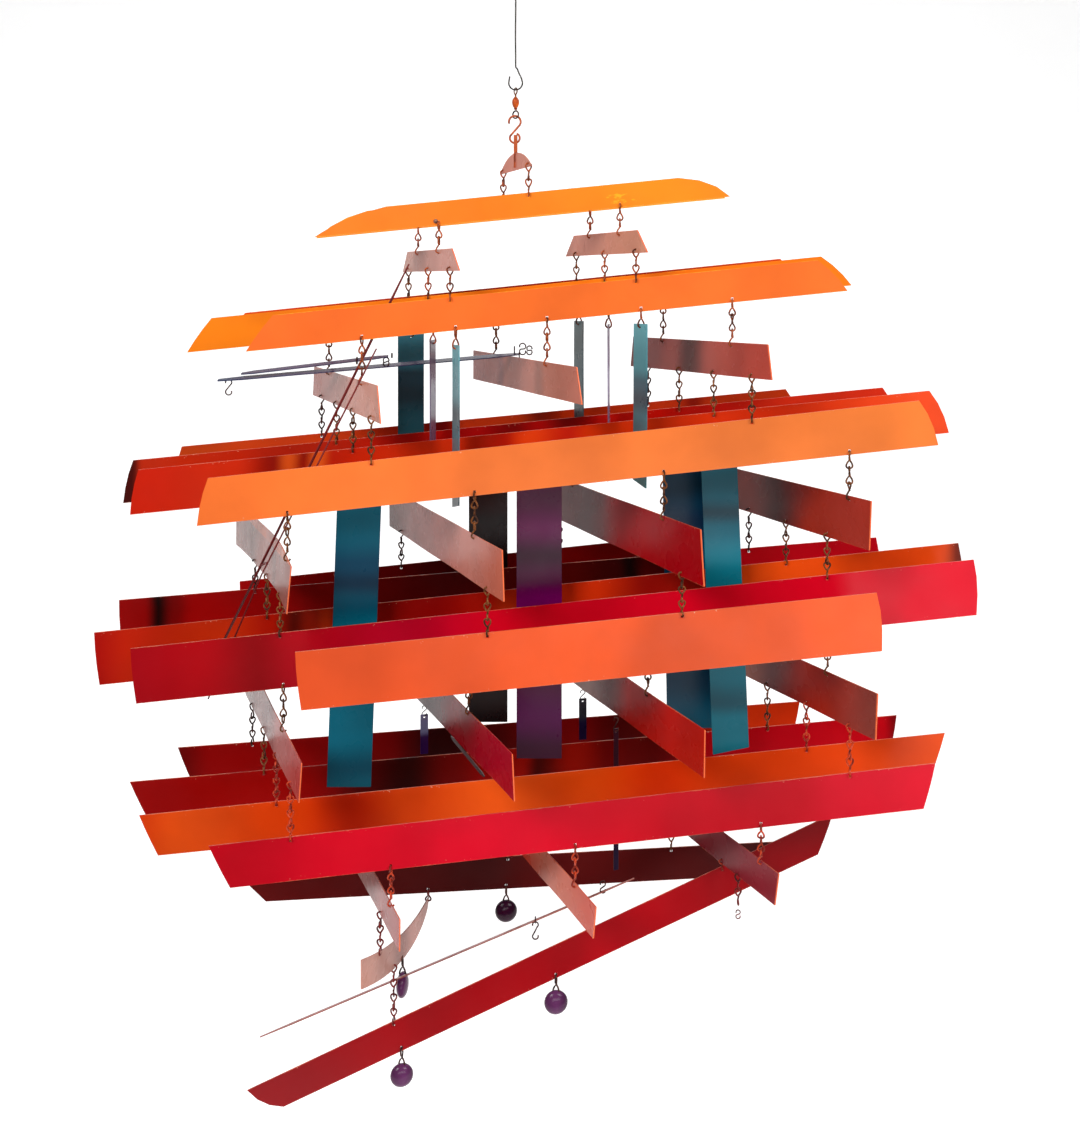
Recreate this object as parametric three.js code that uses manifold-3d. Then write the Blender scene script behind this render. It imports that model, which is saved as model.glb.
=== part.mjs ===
// A hanging mobile of six tiers of long painted sheet-metal plates.
// Short cross plates ("spreaders") run in depth between the tiers, on short
// runs of chain, and thin strips and lens-shaped pendants hang among them.
// Millimetres, +Z up, the long plates along X, -Y is the front. The origin is
// the top of the eye that the whole mobile hangs from.
import * as THREE from 'three';
import { mergeVertices } from 'three/addons/utils/BufferGeometryUtils.js';
import Module from 'manifold-3d';

const wasm = await Module();
wasm.setup();

// ---- driving dimensions ---------------------------------------------------
const SHEET = 1.5;          // thickness of every sheet
const WIRE = 1.8;           // chain and hook wire
const SHEAR = 0.43;         // how far a spreader runs to the left per mm of depth
const PITCH = 90;           // depth between neighbouring plates of a tier
const HOLE = 3.4;           // side of a chain hole
const HOLE_INSET = 5.5;     // hole centre to the plate's edge
const RING_INSET = 1;       // chain ring centre to the plate's edge
const RING_HALF_HEIGHT = 6;
const RING_HALF_WIDTH = 5.5;
const RING_INNER = 0.63;    // inner over outer size of a ring
const STEM_LAP = 5;         // how far a chain runs into the sheet it is fused with

const COLOURS = {
  orange: 0xff8a28, deepOrange: 0xf2672a, redOrange: 0xd83a14, red: 0xb80a16,
  crimson: 0xd00a2c, darkRed: 0x7c0608, copper: 0xbd7f70, rust: 0x9c3a2c,
  teal: 0x0a7488, blue: 0x0a4c74, purple: 0x66093f, black: 0x1c0405,
  navy: 0x1c2450, plum: 0x5a2a5c, steel: 0x3a3634,
};
const paint = (colour) => new THREE.MeshStandardMaterial({
  color: COLOURS[colour], roughness: 0.4, metalness: 0.1,
});

const group = new THREE.Group();
const add = (name, geometry, colour) => {
  const mesh = new THREE.Mesh(geometry, paint(colour));
  mesh.name = name;
  group.add(mesh);
  return mesh;
};

// ---- booleans -------------------------------------------------------------
const toSolid = (geometry) => {
  const bare = geometry.clone();
  bare.deleteAttribute('normal');
  bare.deleteAttribute('uv');
  const merged = mergeVertices(bare, 1e-4);
  return new wasm.Manifold(new wasm.Mesh({
    numProp: 3,
    vertProperties: new Float32Array(merged.attributes.position.array),
    triVerts: new Uint32Array(merged.index.array),
  }));
};
const toGeometry = (solid) => {
  const mesh = solid.getMesh();
  const geometry = new THREE.BufferGeometry();
  geometry.setAttribute('position', new THREE.BufferAttribute(new Float32Array(mesh.vertProperties), 3));
  geometry.setIndex(new THREE.BufferAttribute(new Uint32Array(mesh.triVerts), 1));
  geometry.computeVertexNormals();
  return geometry;
};
const fuse = (geometries) => toGeometry(
  geometries.map(toSolid).reduce((whole, piece) => whole.add(piece)),
);

// ---- sheets and wires -----------------------------------------------------
// An outline drawn as (x, z) becomes an upright sheet centred on y = 0.
const uprightSheet = (shape, thickness = SHEET, curveSegments = 3) => {
  const geometry = new THREE.ExtrudeGeometry(shape, {
    depth: thickness, bevelEnabled: false, curveSegments,
  });
  geometry.translate(0, 0, -thickness / 2);
  return geometry.rotateX(Math.PI / 2);
};
const polygon = (points) => new THREE.Shape(points.map(([x, z]) => new THREE.Vector2(x, z)));
const squareHole = (x, z) => {
  const h = HOLE / 2;
  return new THREE.Path([
    new THREE.Vector2(x - h, z - h), new THREE.Vector2(x - h, z + h),
    new THREE.Vector2(x + h, z + h), new THREE.Vector2(x + h, z - h),
  ]);
};
const roundTube = (curve, radius, steps, sides) => {
  const section = new THREE.Shape();
  for (let i = 0; i < sides; i += 1) {
    const a = 2 * Math.PI * i / sides;
    const point = [radius * Math.cos(a), radius * Math.sin(a)];
    if (i === 0) section.moveTo(...point); else section.lineTo(...point);
  }
  return new THREE.ExtrudeGeometry(section, { steps, extrudePath: curve, bevelEnabled: false });
};
const wireRing = (radius, wire, around = 12, sides = 6) => {
  const profile = [];
  for (let i = 0; i <= sides; i += 1) {
    const a = 2 * Math.PI * (i % sides) / sides;
    profile.push(new THREE.Vector2(radius + wire / 2 * Math.cos(a), wire / 2 * Math.sin(a)));
  }
  return new THREE.LatheGeometry(profile, around);
};

// A run of chain as one fused piece: an open ring at one end, that passes
// through a plate's hole, and a stem up to `reach` mm beyond its centre.
// The ring lies in the YZ plane; `way` is -1 with the stem below, +1 above.
const chainRun = (reach, way) => {
  const half = WIRE / 2;
  const neck = RING_HALF_HEIGHT * (1 - half / RING_HALF_WIDTH);
  const outer = [
    [0, -RING_HALF_HEIGHT], [RING_HALF_WIDTH, 0], [half, neck], [half, reach],
    [-half, reach], [-half, neck], [-RING_HALF_WIDTH, 0],
  ];
  const inner = [
    [0, -RING_HALF_HEIGHT * RING_INNER], [-RING_HALF_WIDTH * RING_INNER, 0],
    [0, RING_HALF_HEIGHT * RING_INNER], [RING_HALF_WIDTH * RING_INNER, 0],
  ];
  const shape = polygon(outer.map(([u, v]) => [u, v * way]));
  shape.holes.push(new THREE.Path(inner.map(([u, v]) => new THREE.Vector2(u, v * way))));
  return uprightSheet(shape, WIRE).rotateZ(Math.PI / 2);
};

const stem = (x, y, z0, z1) => new THREE.BoxGeometry(WIRE, WIRE, z1 - z0).translate(x, y, (z0 + z1) / 2);

// ---- long plates ----------------------------------------------------------
// left, right: the ends of the top edge; z: the top edge at its left end;
// rise: its slope; slant: how far the bottom corners stand out past the top ones;
// bow: how far each end's edge is drawn outwards.
const plates = {};
const definePlate = (name, y, colour, spec) => {
  plates[name] = {
    name, y, colour, holes: [], bow: [1.5, 1.5], bowRise: 1, ...spec,
    topAt: (x) => spec.z + spec.rise * (x - spec.left),
    bottomAt: (x) => spec.z + spec.rise * (x - spec.left) - spec.width,
  };
};
const holeAt = (plate, x, edge) => {
  const z = edge === 'top' ? plate.topAt(x) - HOLE_INSET : plate.bottomAt(x) + HOLE_INSET;
  plate.holes.push([x, z]);
};
const ringHeight = (plate, x, edge) => (
  edge === 'top' ? plate.topAt(x) - RING_INSET : plate.bottomAt(x) + RING_INSET
);
const longPlate = (plate) => {
  const [slantLeft, slantRight] = plate.slant;
  const [bowLeft, bowRight] = plate.bow;
  const xa = plate.left - slantLeft;
  const xb = plate.right + slantRight;
  const middle = (x0, x1) => (x0 + x1) / 2;
  const shape = new THREE.Shape();
  shape.moveTo(xa, plate.bottomAt(xa));
  shape.lineTo(xb, plate.bottomAt(xb));
  shape.quadraticCurveTo(
    middle(xb, plate.right) + bowRight,
    middle(plate.bottomAt(xb), plate.topAt(plate.right)) + bowRight,
    plate.right, plate.topAt(plate.right),
  );
  shape.lineTo(plate.left, plate.topAt(plate.left));
  shape.quadraticCurveTo(
    middle(xa, plate.left) - bowLeft,
    middle(plate.bottomAt(xa), plate.topAt(plate.left)) + bowLeft * plate.bowRise,
    xa, plate.bottomAt(xa),
  );
  plate.holes.forEach(([x, z]) => shape.holes.push(squareHole(x, z)));
  add(plate.name, uprightSheet(shape), plate.colour).position.y = plate.y;
};

const tierOne = { rise: 0.098, width: 34, bow: [9, 12] };
definePlate('tier_one_back_plate', PITCH / 2, 'orange',
  { ...tierOne, left: -223, right: 225, z: -338.5, slant: [78, 90] });
definePlate('tier_one_front_plate', -PITCH / 2, 'orange',
  { ...tierOne, left: -184, right: 233, z: -339.5, slant: [103, 74] });

const tierTwo = { rise: 0.101, width: 47, bow: [2, 4] };
definePlate('tier_two_back_plate', PITCH, 'redOrange',
  { ...tierTwo, left: -418, right: 405, z: -492, slant: [36, 42] });
definePlate('tier_two_middle_plate', 0, 'orange',
  { ...tierTwo, left: -445, right: 447, z: -499, slant: [36, 45] });
definePlate('tier_two_front_plate', -PITCH, 'deepOrange',
  { ...tierTwo, left: -335, right: 421, z: -494, slant: [38, 42] });

const tierThree = { width: 63, bow: [4, 6] };
definePlate('tier_three_back_plate', 1.5 * PITCH, 'red',
  { ...tierThree, left: -529, right: 423, z: -703, rise: 0.095, slant: [12, 27] });
definePlate('tier_three_second_plate', 0.5 * PITCH, 'red',
  { ...tierThree, left: -575, right: 550, z: -713, rise: 0.097, slant: [15, 27] });
definePlate('tier_three_third_plate', -0.5 * PITCH, 'redOrange',
  { ...tierThree, left: -537, right: 591, z: -715, rise: 0.1, slant: [12, 28] });
definePlate('tier_three_front_plate', -1.5 * PITCH, 'deepOrange',
  { ...tierThree, left: -413, right: 548, z: -714, rise: 0.109, slant: [15, 26] });

const tierFour = { width: 77.5, bow: [3, 6] };
definePlate('tier_four_back_plate', 2 * PITCH, 'darkRed',
  { ...tierFour, left: -449, right: 278, z: -926, rise: 0.1045, slant: [-6, 6] });
definePlate('tier_four_second_plate', PITCH, 'darkRed',
  { ...tierFour, left: -612, right: 553, z: -934, rise: 0.0827, slant: [-5, 5] });
definePlate('tier_four_middle_plate', 0, 'redOrange',
  { ...tierFour, left: -617, right: 648, z: -959.5, rise: 0.1036, slant: [-8, 5] });
definePlate('tier_four_fourth_plate', -PITCH, 'crimson',
  { ...tierFour, left: -533, right: 638, z: -957, rise: 0.1054, slant: [-8, 4] });
definePlate('tier_four_front_plate', -2 * PITCH, 'deepOrange',
  { ...tierFour, left: -286, right: 478, z: -936, rise: 0.102, slant: [-8, 7] });

const tierFive = { width: 60, bow: [3, 2.5] };
definePlate('tier_five_back_plate', 1.5 * PITCH, 'darkRed',
  { ...tierFive, left: -535, right: 445, z: -1177.5, rise: 0.074, slant: [-24, -13] });
definePlate('tier_five_second_plate', 0.5 * PITCH, 'crimson',
  { ...tierFive, left: -580, right: 571, z: -1196, rise: 0.087, slant: [-28, -11] });
definePlate('tier_five_third_plate', -0.5 * PITCH, 'redOrange',
  { ...tierFive, left: -536, right: 613, z: -1208, rise: 0.1023, slant: [-27, -20] });
definePlate('tier_five_front_plate', -1.5 * PITCH, 'crimson',
  { ...tierFive, left: -412, right: 570, z: -1211, rise: 0.114, slant: [-29, -16] });

const tierSix = { bow: [6, 4] };
definePlate('tier_six_back_plate', PITCH, 'darkRed',
  { ...tierSix, left: -436, right: 405, z: -1350.5, rise: 0.0535, width: 50, slant: [-50, -30] });
definePlate('tier_six_steep_plate', -PITCH / 2, 'darkRed',
  { left: -382, right: 453, z: -1600, rise: 0.472, width: 48, slant: [-52, -21], bow: [6, 3], bowRise: -2 });

// ---- spreaders ------------------------------------------------------------
// A spreader is an upright sheet along the sheared depth direction through
// (x, 0). Its outline is drawn as (depth y, height z). It hangs by chains from
// the plates `from` and carries the plates `to`.
const alongSpreader = Math.hypot(1, SHEAR);
const spreaderSheet = (x, shape) => {
  const geometry = uprightSheet(shape);
  geometry.rotateZ(Math.PI / 2 + Math.atan(SHEAR));
  return geometry.translate(x, 0, 0);
};
const heightAt = (edge, y) => {
  const far = Math.max(0, edge.findIndex(([yi]) => yi <= y) - 1);
  const [y0, z0] = edge[far];
  const [y1, z1] = edge[far + 1];
  return z0 + (z1 - z0) * (y - y0) / (y1 - y0);
};
const chainTo = (plate, x, edge, z) => {
  const ring = ringHeight(plate, x, edge);
  holeAt(plate, x, edge);
  const way = edge === 'top' ? 1 : -1;
  return chainRun(Math.abs(ring - z), way).translate(x, plate.y, ring);
};
const spreader = (name, colour, x, { top, bottom, from, to, holes = [] }) => {
  const onSheet = ([y, z]) => [y * alongSpreader, z];
  const shape = polygon([...top, ...[...bottom].reverse()].map(onSheet));
  holes.map(onSheet).forEach(([u, z]) => shape.holes.push(squareHole(u, z)));
  const pieces = [spreaderSheet(x, shape)];
  from.forEach((key) => {
    const { y } = plates[key];
    pieces.push(chainTo(plates[key], x - SHEAR * y, 'bottom', heightAt(top, y) - STEM_LAP));
  });
  to.forEach((key) => {
    const { y } = plates[key];
    pieces.push(chainTo(plates[key], x - SHEAR * y, 'top', heightAt(bottom, y) + STEM_LAP));
  });
  add(name, fuse(pieces), colour);
};

const tier = (word, places) => places.map((place) => `tier_${word}_${place}_plate`);
const TWO = tier('two', ['back', 'middle', 'front']);
const THREE_ALL = tier('three', ['back', 'second', 'third', 'front']);
const THREE_OUTER = tier('three', ['back', 'front']);
const FOUR_INNER = tier('four', ['second', 'middle', 'fourth']);
const FOUR_OUTER = tier('four', ['back', 'front']);
const FIVE = tier('five', ['back', 'second', 'third', 'front']);
const ONE = tier('one', ['back', 'front']);

// Edges run from the far end to the near end.
spreader('upper_left_spreader', 'copper', -128, {
  top: [[94, -398], [-98, -401.5]], bottom: [[117, -428.5], [-128, -433.5]], from: ONE, to: TWO,
});
spreader('upper_right_spreader', 'copper', 130.3, {
  top: [[98, -373], [-94, -376]], bottom: [[126, -404], [-122, -408.5]], from: ONE, to: TWO,
});
spreader('second_left_spreader', 'copper', -250.5, {
  top: [[180, -579], [-162, -587]], bottom: [[188, -626], [-179, -636.5]],
  from: tier('two', ['back', 'front']), to: THREE_ALL,
});
spreader('second_middle_spreader', 'copper', 6.7, {
  top: [[180, -553], [-180, -561.5]], bottom: [[181, -599.5], [-195, -610]],
  from: tier('two', ['back', 'front']), to: [],
});
spreader('second_right_spreader', 'copper', 264, {
  top: [[180, -531], [-170, -532]], bottom: [[188, -579], [-179, -579]],
  from: tier('two', ['back', 'front']), to: THREE_ALL,
});
spreader('third_left_spreader', 'copper', -364, {
  top: [[250, -815.5], [150, -806], [-74, -808.5], [-112, -814], [-161, -828]],
  bottom: [[252, -881], [120, -876], [-72, -881], [-106, -888], [-136, -898]],
  from: THREE_OUTER, to: FOUR_INNER,
});
spreader('third_middle_left_spreader', 'copper', -110.8, {
  top: [[241, -784], [-229, -792]], bottom: [[241, -848], [-234, -857]],
  from: THREE_OUTER, to: FOUR_OUTER,
});
spreader('third_middle_right_spreader', 'rust', 144.8, {
  top: [[225, -758], [-225, -766.5]], bottom: [[232, -825], [-233, -838]],
  from: THREE_OUTER, to: FOUR_OUTER,
});
spreader('third_right_spreader', 'rust', 395.8, {
  top: [[180, -736], [-178, -738]], bottom: [[178, -797], [-174, -804]],
  from: THREE_OUTER, to: FOUR_INNER,
});
spreader('fourth_left_spreader', 'copper', -359.6, {
  top: [[190, -1048], [-200, -1075]], bottom: [[188, -1110.5], [-185, -1132.5]],
  from: tier('four', ['second', 'fourth']), to: FIVE,
});
spreader('fourth_middle_left_spreader', 'rust', -102, {
  top: [[180, -1035], [-240, -1048]], bottom: [[172, -1097], [-246, -1105.5]],
  from: tier('four', ['second', 'fourth']), to: [],
});
spreader('fourth_middle_right_spreader', 'rust', 147, {
  top: [[190, -1010], [-229, -1021.5]], bottom: [[186, -1074], [-228, -1083]],
  from: tier('four', ['second', 'fourth']), to: [],
});
spreader('fourth_right_spreader', 'rust', 396.5, {
  top: [[186, -992], [-189, -988]], bottom: [[184, -1054], [-185, -1050.5]],
  from: tier('four', ['second', 'fourth']), to: FIVE,
});
const FIVE_OUTER = tier('five', ['second', 'front']);
const SIX_BACK = tier('six', ['back']);
const LOWER_LEFT_X = -223.8;
const BLADE_CHAIN = { y: -86, z: -1325 };
spreader('lower_left_spreader', 'rust', LOWER_LEFT_X, {
  top: [[112, -1276], [-176, -1289.5]], bottom: [[110, -1319], [-174, -1333.5]],
  from: FIVE_OUTER, to: SIX_BACK, holes: [[BLADE_CHAIN.y, BLADE_CHAIN.z]],
});
spreader('lower_middle_spreader', 'rust', 25, {
  top: [[112, -1255], [-196, -1263]], bottom: [[110, -1299], [-189, -1308]],
  from: FIVE_OUTER, to: SIX_BACK,
});
spreader('lower_right_spreader', 'rust', 276.3, {
  top: [[112, -1230], [-174, -1230.5]], bottom: [[110, -1276], [-165, -1277]],
  from: FIVE_OUTER, to: [...SIX_BACK, 'tier_six_steep_plate'],
});

// ---- the curved blade at the lower left -----------------------------------
const BLADE = { near: -135, far: 92, xNear: -206, xBend: -160, xFar: -136, steps: 8 };
const bladeX = (t) => (1 - t) ** 2 * BLADE.xNear + 2 * t * (1 - t) * BLADE.xBend + t ** 2 * BLADE.xFar;
const bladeY = (t) => BLADE.near + (BLADE.far - BLADE.near) * t;
const bladeTop = (t) => -1365 - 78.8 * t + 52.4 * t ** 2;
const bladeHeight = (t) => 3 + 37 * Math.sqrt(Math.max(0, 1 - t ** 3));
const bladePlace = (y) => (y - BLADE.near) / (BLADE.far - BLADE.near);
const curvedSheet = () => {
  const corners = [];
  for (let i = 0; i <= BLADE.steps; i += 1) {
    const t = i / BLADE.steps;
    const step = 0.01;
    const along = new THREE.Vector2(bladeX(t + step), bladeY(t + step));
    along.sub(new THREE.Vector2(bladeX(t - step), bladeY(t - step)));
    const side = along.normalize().multiplyScalar(SHEET / 2);
    const [x, y, top] = [bladeX(t), bladeY(t), bladeTop(t)];
    const bottom = top - bladeHeight(t);
    corners.push(
      [x + side.y, y - side.x, bottom], [x + side.y, y - side.x, top],
      [x - side.y, y + side.x, top], [x - side.y, y + side.x, bottom],
    );
  }
  const faces = [0, 1, 2, 0, 2, 3];
  for (let i = 0; i < BLADE.steps; i += 1) {
    for (let k = 0; k < 4; k += 1) {
      const [a, b] = [4 * i + k, 4 * i + (k + 1) % 4];
      faces.push(a, a + 4, b, b, a + 4, b + 4);
    }
  }
  const last = 4 * BLADE.steps;
  faces.push(last, last + 2, last + 1, last, last + 3, last + 2);
  const geometry = new THREE.BufferGeometry();
  geometry.setAttribute('position', new THREE.Float32BufferAttribute(corners.flat(), 3));
  geometry.setIndex(faces);
  return geometry;
};
const spreaderRing = (reach, way) => chainRun(reach, way).rotateZ(Math.PI / 2 + Math.atan(SHEAR));
const bladeChain = () => {
  const { y, z } = BLADE_CHAIN;
  const ring = z - HOLE_INSET + RING_INSET;
  const reach = ring - bladeTop(bladePlace(y)) + STEM_LAP;
  return spreaderRing(reach, -1).translate(LOWER_LEFT_X - SHEAR * y, y, ring);
};
const bladeToBackPlate = () => {
  const plate = plates.tier_six_back_plate;
  const x = bladeX(bladePlace(plate.y));
  return chainTo(plate, x, 'bottom', bladeTop(1) - 2);
};
const bladeToSteepPlate = () => {
  const plate = plates.tier_six_steep_plate;
  const t = bladePlace(plate.y);
  return chainTo(plate, bladeX(t), 'top', bladeTop(t) - bladeHeight(t) + STEM_LAP);
};
add('curved_blade', fuse([curvedSheet(), bladeChain(), bladeToBackPlate(), bladeToSteepPlate()]), 'copper');

// ---- suspension -----------------------------------------------------------
const EYE = { radius: 8, wire: 2.2 };
const HOOK = { top: -131, drop: 24, radius: 10, arm: 8.5 };
const BARREL = { top: -176, lip: -178.6, belly: -182, waist: -189, bottom: -194.5,
  radius: 5.2, bore: 1.9, room: 3.4 };
const STEM = { radius: 1.2, head: 2.8, headTop: -180, foot: -182, top: -170.6 };
const SWIVEL_RING = { radius: 4.2, wire: 1.5, upper: -166.4, lower: -201.3 };
const flatRing = ({ radius, wire }, z, turn = 0) => (
  wireRing(radius, wire, 10, 5).rotateZ(turn).translate(0, 0, z)
);
const topHook = () => {
  const eyeCentre = -EYE.radius - EYE.wire / 2;
  const points = [[0, eyeCentre - EYE.radius], [0, HOOK.top]];
  const centre = HOOK.top - HOOK.drop;
  for (let i = 0; i <= 8; i += 1) {
    const a = Math.PI * (0.12 - 1.15 * i / 8);
    points.push([HOOK.radius * Math.cos(a), centre + HOOK.radius * Math.sin(a)]);
  }
  points.push([-HOOK.radius - 0.8, centre + HOOK.arm]);
  const curve = new THREE.CatmullRomCurve3(points.map(([x, z]) => new THREE.Vector3(x, 0, z)));
  return [flatRing(EYE, eyeCentre), roundTube(curve, EYE.wire / 2, 20, 5)];
};
const turned = (profile, around) => (
  new THREE.LatheGeometry(profile.map(([r, z]) => new THREE.Vector2(r, z)), around).rotateX(Math.PI / 2)
);
const swivelStem = () => turned([
  [0, STEM.foot], [STEM.head, STEM.foot], [STEM.head, STEM.headTop],
  [STEM.radius, STEM.headTop], [STEM.radius, STEM.top], [0, STEM.top],
], 10);
add('top_hook', fuse(topHook()), 'steel');
add('swivel_upper_eye', fuse([flatRing(SWIVEL_RING, SWIVEL_RING.upper, Math.PI / 2), swivelStem()]), 'steel');
const barrel = () => turned([
  [0, BARREL.bottom], [BARREL.radius / 2, BARREL.bottom], [BARREL.radius * 0.78, BARREL.waist],
  [BARREL.radius, BARREL.belly - 1], [BARREL.radius, BARREL.belly + 1],
  [BARREL.radius * 0.67, BARREL.top], [BARREL.bore, BARREL.top], [BARREL.bore, BARREL.lip],
  [BARREL.room, BARREL.lip], [BARREL.room, STEM.foot - 1.4], [0, STEM.foot - 1.4],
], 10);
const lowerRingTop = SWIVEL_RING.lower + SWIVEL_RING.radius;
add('swivel_barrel', fuse([barrel(), flatRing(SWIVEL_RING, SWIVEL_RING.lower, Math.PI / 2),
  stem(0, 0, lowerRingTop - 1, BARREL.bottom + 2)]), 'orange');

const S_HOOK = { wire: 2.6, upper: { z: -211.8, r: 8.6 }, lower: { z: -235.6, r: 7.2 } };
const sHook = () => {
  const points = [];
  for (let i = 0; i <= 6; i += 1) {
    const a = Math.PI * (1.1 - 1.35 * i / 6);
    points.push([S_HOOK.upper.r * Math.cos(a), S_HOOK.upper.z + S_HOOK.upper.r * Math.sin(a)]);
  }
  for (let i = 0; i <= 7; i += 1) {
    const a = Math.PI * (0.72 + 1.65 * i / 7);
    points.push([S_HOOK.lower.r * Math.cos(a), S_HOOK.lower.z + S_HOOK.lower.r * Math.sin(a)]);
  }
  const curve = new THREE.CatmullRomCurve3(points.map(([x, z]) => new THREE.Vector3(x, 0, z)));
  return roundTube(curve, S_HOOK.wire / 2, 20, 6);
};
add('s_hook', sHook(), 'copper');

// The hanger is a segment of a disc with a folded strap through its crown.
const HANGER = { chord: -283, crown: -257.5, half: 56, lug: -281 };
const hangerSheet = () => {
  const half = HANGER.half * alongSpreader;
  const rise = HANGER.crown - HANGER.chord;
  const radius = (half ** 2 + rise ** 2) / (2 * rise);
  const spread = Math.asin(half / radius);
  const shape = new THREE.Shape();
  shape.moveTo(half, HANGER.chord);
  shape.absarc(0, HANGER.crown - radius, radius, Math.PI / 2 - spread, Math.PI / 2 + spread, false);
  shape.closePath();
  return spreaderSheet(0, shape);
};
const STRAP = { width: 5.4, top: -232, bottom: -280.5, leg: 1.5, half: 4.4 };
const strap = () => {
  const { top, bottom, leg, half } = STRAP;
  const shape = polygon([
    [-1.2, bottom], [1.2, bottom], [half, top - 9], [half - 1, top - 2], [1.5, top],
    [-1.5, top], [1 - half, top - 2], [-half, top - 9],
  ]);
  const inside = half - leg;
  shape.holes.push(new THREE.Path([
    [inside, top - 10], [0, top - 22], [-inside, top - 10],
    [0.4 - inside, top - 3], [inside - 0.4, top - 3],
  ].map(([x, z]) => new THREE.Vector2(x, z))));
  return uprightSheet(shape, STRAP.width).rotateZ(Math.PI / 2);
};
const hangerChain = (key) => (
  chainTo(plates[key], -SHEAR * plates[key].y, 'top', HANGER.lug)
);
add('hanger_with_strap', fuse([hangerSheet(), strap(), ...ONE.map(hangerChain)]), 'copper');

// ---- strips ---------------------------------------------------------------
// A strip hangs by a ring from the bottom edge of a plate. It is turned about
// its own upright axis, and leans sideways by `lean` over its length.
const strip = (name, colour, plate, x, { top, bottom, width, turn = 0, lean = 0, cut = 0 }) => {
  const half = width / 2;
  const sheet = uprightSheet(polygon([
    [-half + lean, bottom - cut / 2], [half + lean, bottom + cut / 2], [half, top], [-half, top],
  ]));
  sheet.rotateZ(THREE.MathUtils.degToRad(turn)).translate(x, plate.y, 0);
  add(name, fuse([sheet, chainTo(plate, x, 'bottom', top - STEM_LAP)]), colour);
};
strip('upper_teal_strip_left_back', 'teal', plates.tier_two_back_plate, -163,
  { top: -523, bottom: -751, width: 40, turn: 0 });
strip('upper_purple_strip_left', 'purple', plates.tier_two_middle_plate, -121,
  { top: -531, bottom: -761, width: 38, turn: 83 });
strip('upper_teal_strip_left_front', 'teal', plates.tier_two_front_plate, -81.5,
  { top: -535.5, bottom: -760, width: 38, turn: -72, cut: 8 });
strip('upper_teal_strip_right_back', 'teal', plates.tier_two_back_plate, 95.5,
  { top: -504.5, bottom: -733, width: 38, turn: -70 });
strip('upper_purple_strip_right', 'purple', plates.tier_two_middle_plate, 136,
  { top: -508, bottom: -736, width: 38, turn: 84 });
strip('upper_teal_strip_right_front', 'teal', plates.tier_two_front_plate, 176,
  { top: -506, bottom: -729, width: 38, turn: -66, lean: -3, cut: -8 });
strip('middle_teal_strip_left', 'teal', plates.tier_three_third_plate, -222,
  { top: -757, bottom: -1167.5, width: 63, lean: -15 });
strip('middle_black_strip', 'black', plates.tier_three_back_plate, -46,
  { top: -733, bottom: -1137.5, width: 61 });
strip('middle_purple_strip', 'purple', plates.tier_three_third_plate, 34.5,
  { top: -733, bottom: -1127, width: 64.5 });
strip('middle_blue_strip', 'blue', plates.tier_three_second_plate, 254.5,
  { top: -708, bottom: -1115, width: 70, lean: 7 });
strip('middle_teal_strip_right', 'teal', plates.tier_three_third_plate, 291,
  { top: -706, bottom: -1116, width: 51.5, lean: 17, cut: 11 });

// ---- loose blades ---------------------------------------------------------
const bar = (from, to, width, roll = 0) => {
  const start = new THREE.Vector3(...from);
  const line = new THREE.Vector3(...to).sub(start);
  const geometry = new THREE.BoxGeometry(line.length(), width, SHEET);
  geometry.rotateX(roll);
  geometry.applyQuaternion(
    new THREE.Quaternion().setFromUnitVectors(new THREE.Vector3(1, 0, 0), line.clone().normalize()),
  );
  const middle = start.addScaledVector(line, 0.5);
  return geometry.translate(middle.x, middle.y, middle.z);
};
add('loose_blue_blades', fuse([
  bar([-444, 30, -592], [4, 30, -553], 14, 0.14),
  bar([-408, 26, -582], [-190, 26, -556], 14, 0.12),
  bar([-206, 27, -558], [-206, 30, -572], 3),
]), 'navy');
const BLADE_BEND = [-349, -100, -853];
add('loose_dark_red_blades', fuse([
  bar([-148, -75, -422.5], [-428, -81, -994], 4),
  bar([-183, -153, -538.5], BLADE_BEND, 3.4),
  bar(BLADE_BEND, [-431, -69, -1034], 3.4),
  bar([-355, -79.4, -845], [-341, -102.5, -838], 3),
]), 'darkRed');
add('thin_lower_blade', bar([-362, -51, -1520.5], [173, -9, -1315], 8, -0.25), 'copper');

// ---- pendants -------------------------------------------------------------
const LENS_THICKNESS = 17;
const lens = (radius, thickness) => {
  const [half, shoulder] = [thickness / 2, 0.62];
  const profile = [
    [0, -half], [radius * shoulder, -half * 0.78], [radius, -half * 0.2], [radius, half * 0.2],
    [radius * shoulder, half * 0.78], [0, half],
  ];
  return new THREE.LatheGeometry(profile.map(([r, h]) => new THREE.Vector2(r, h)), 14);
};
const pendant = (name, plate, x, { z, radius }) => add(name, fuse([
  lens(radius, LENS_THICKNESS).translate(x, plate.y, z),
  chainTo(plate, x, 'bottom', z + radius - 3),
]), 'plum');
pendant('pendant_on_back_plate', plates.tier_six_back_plate, -16.5, { z: -1412.5, radius: 17 });
pendant('pendant_on_steep_plate_right', plates.tier_six_steep_plate, 58.5, { z: -1474.5, radius: 17 });
pendant('pendant_on_steep_plate_left', plates.tier_six_steep_plate, -161.5, { z: -1578.5, radius: 16.5 });
const EDGE_ON = { y: -16, z: -1466, radius: 17.5 };
const edgeOnTime = bladePlace(EDGE_ON.y);
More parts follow.
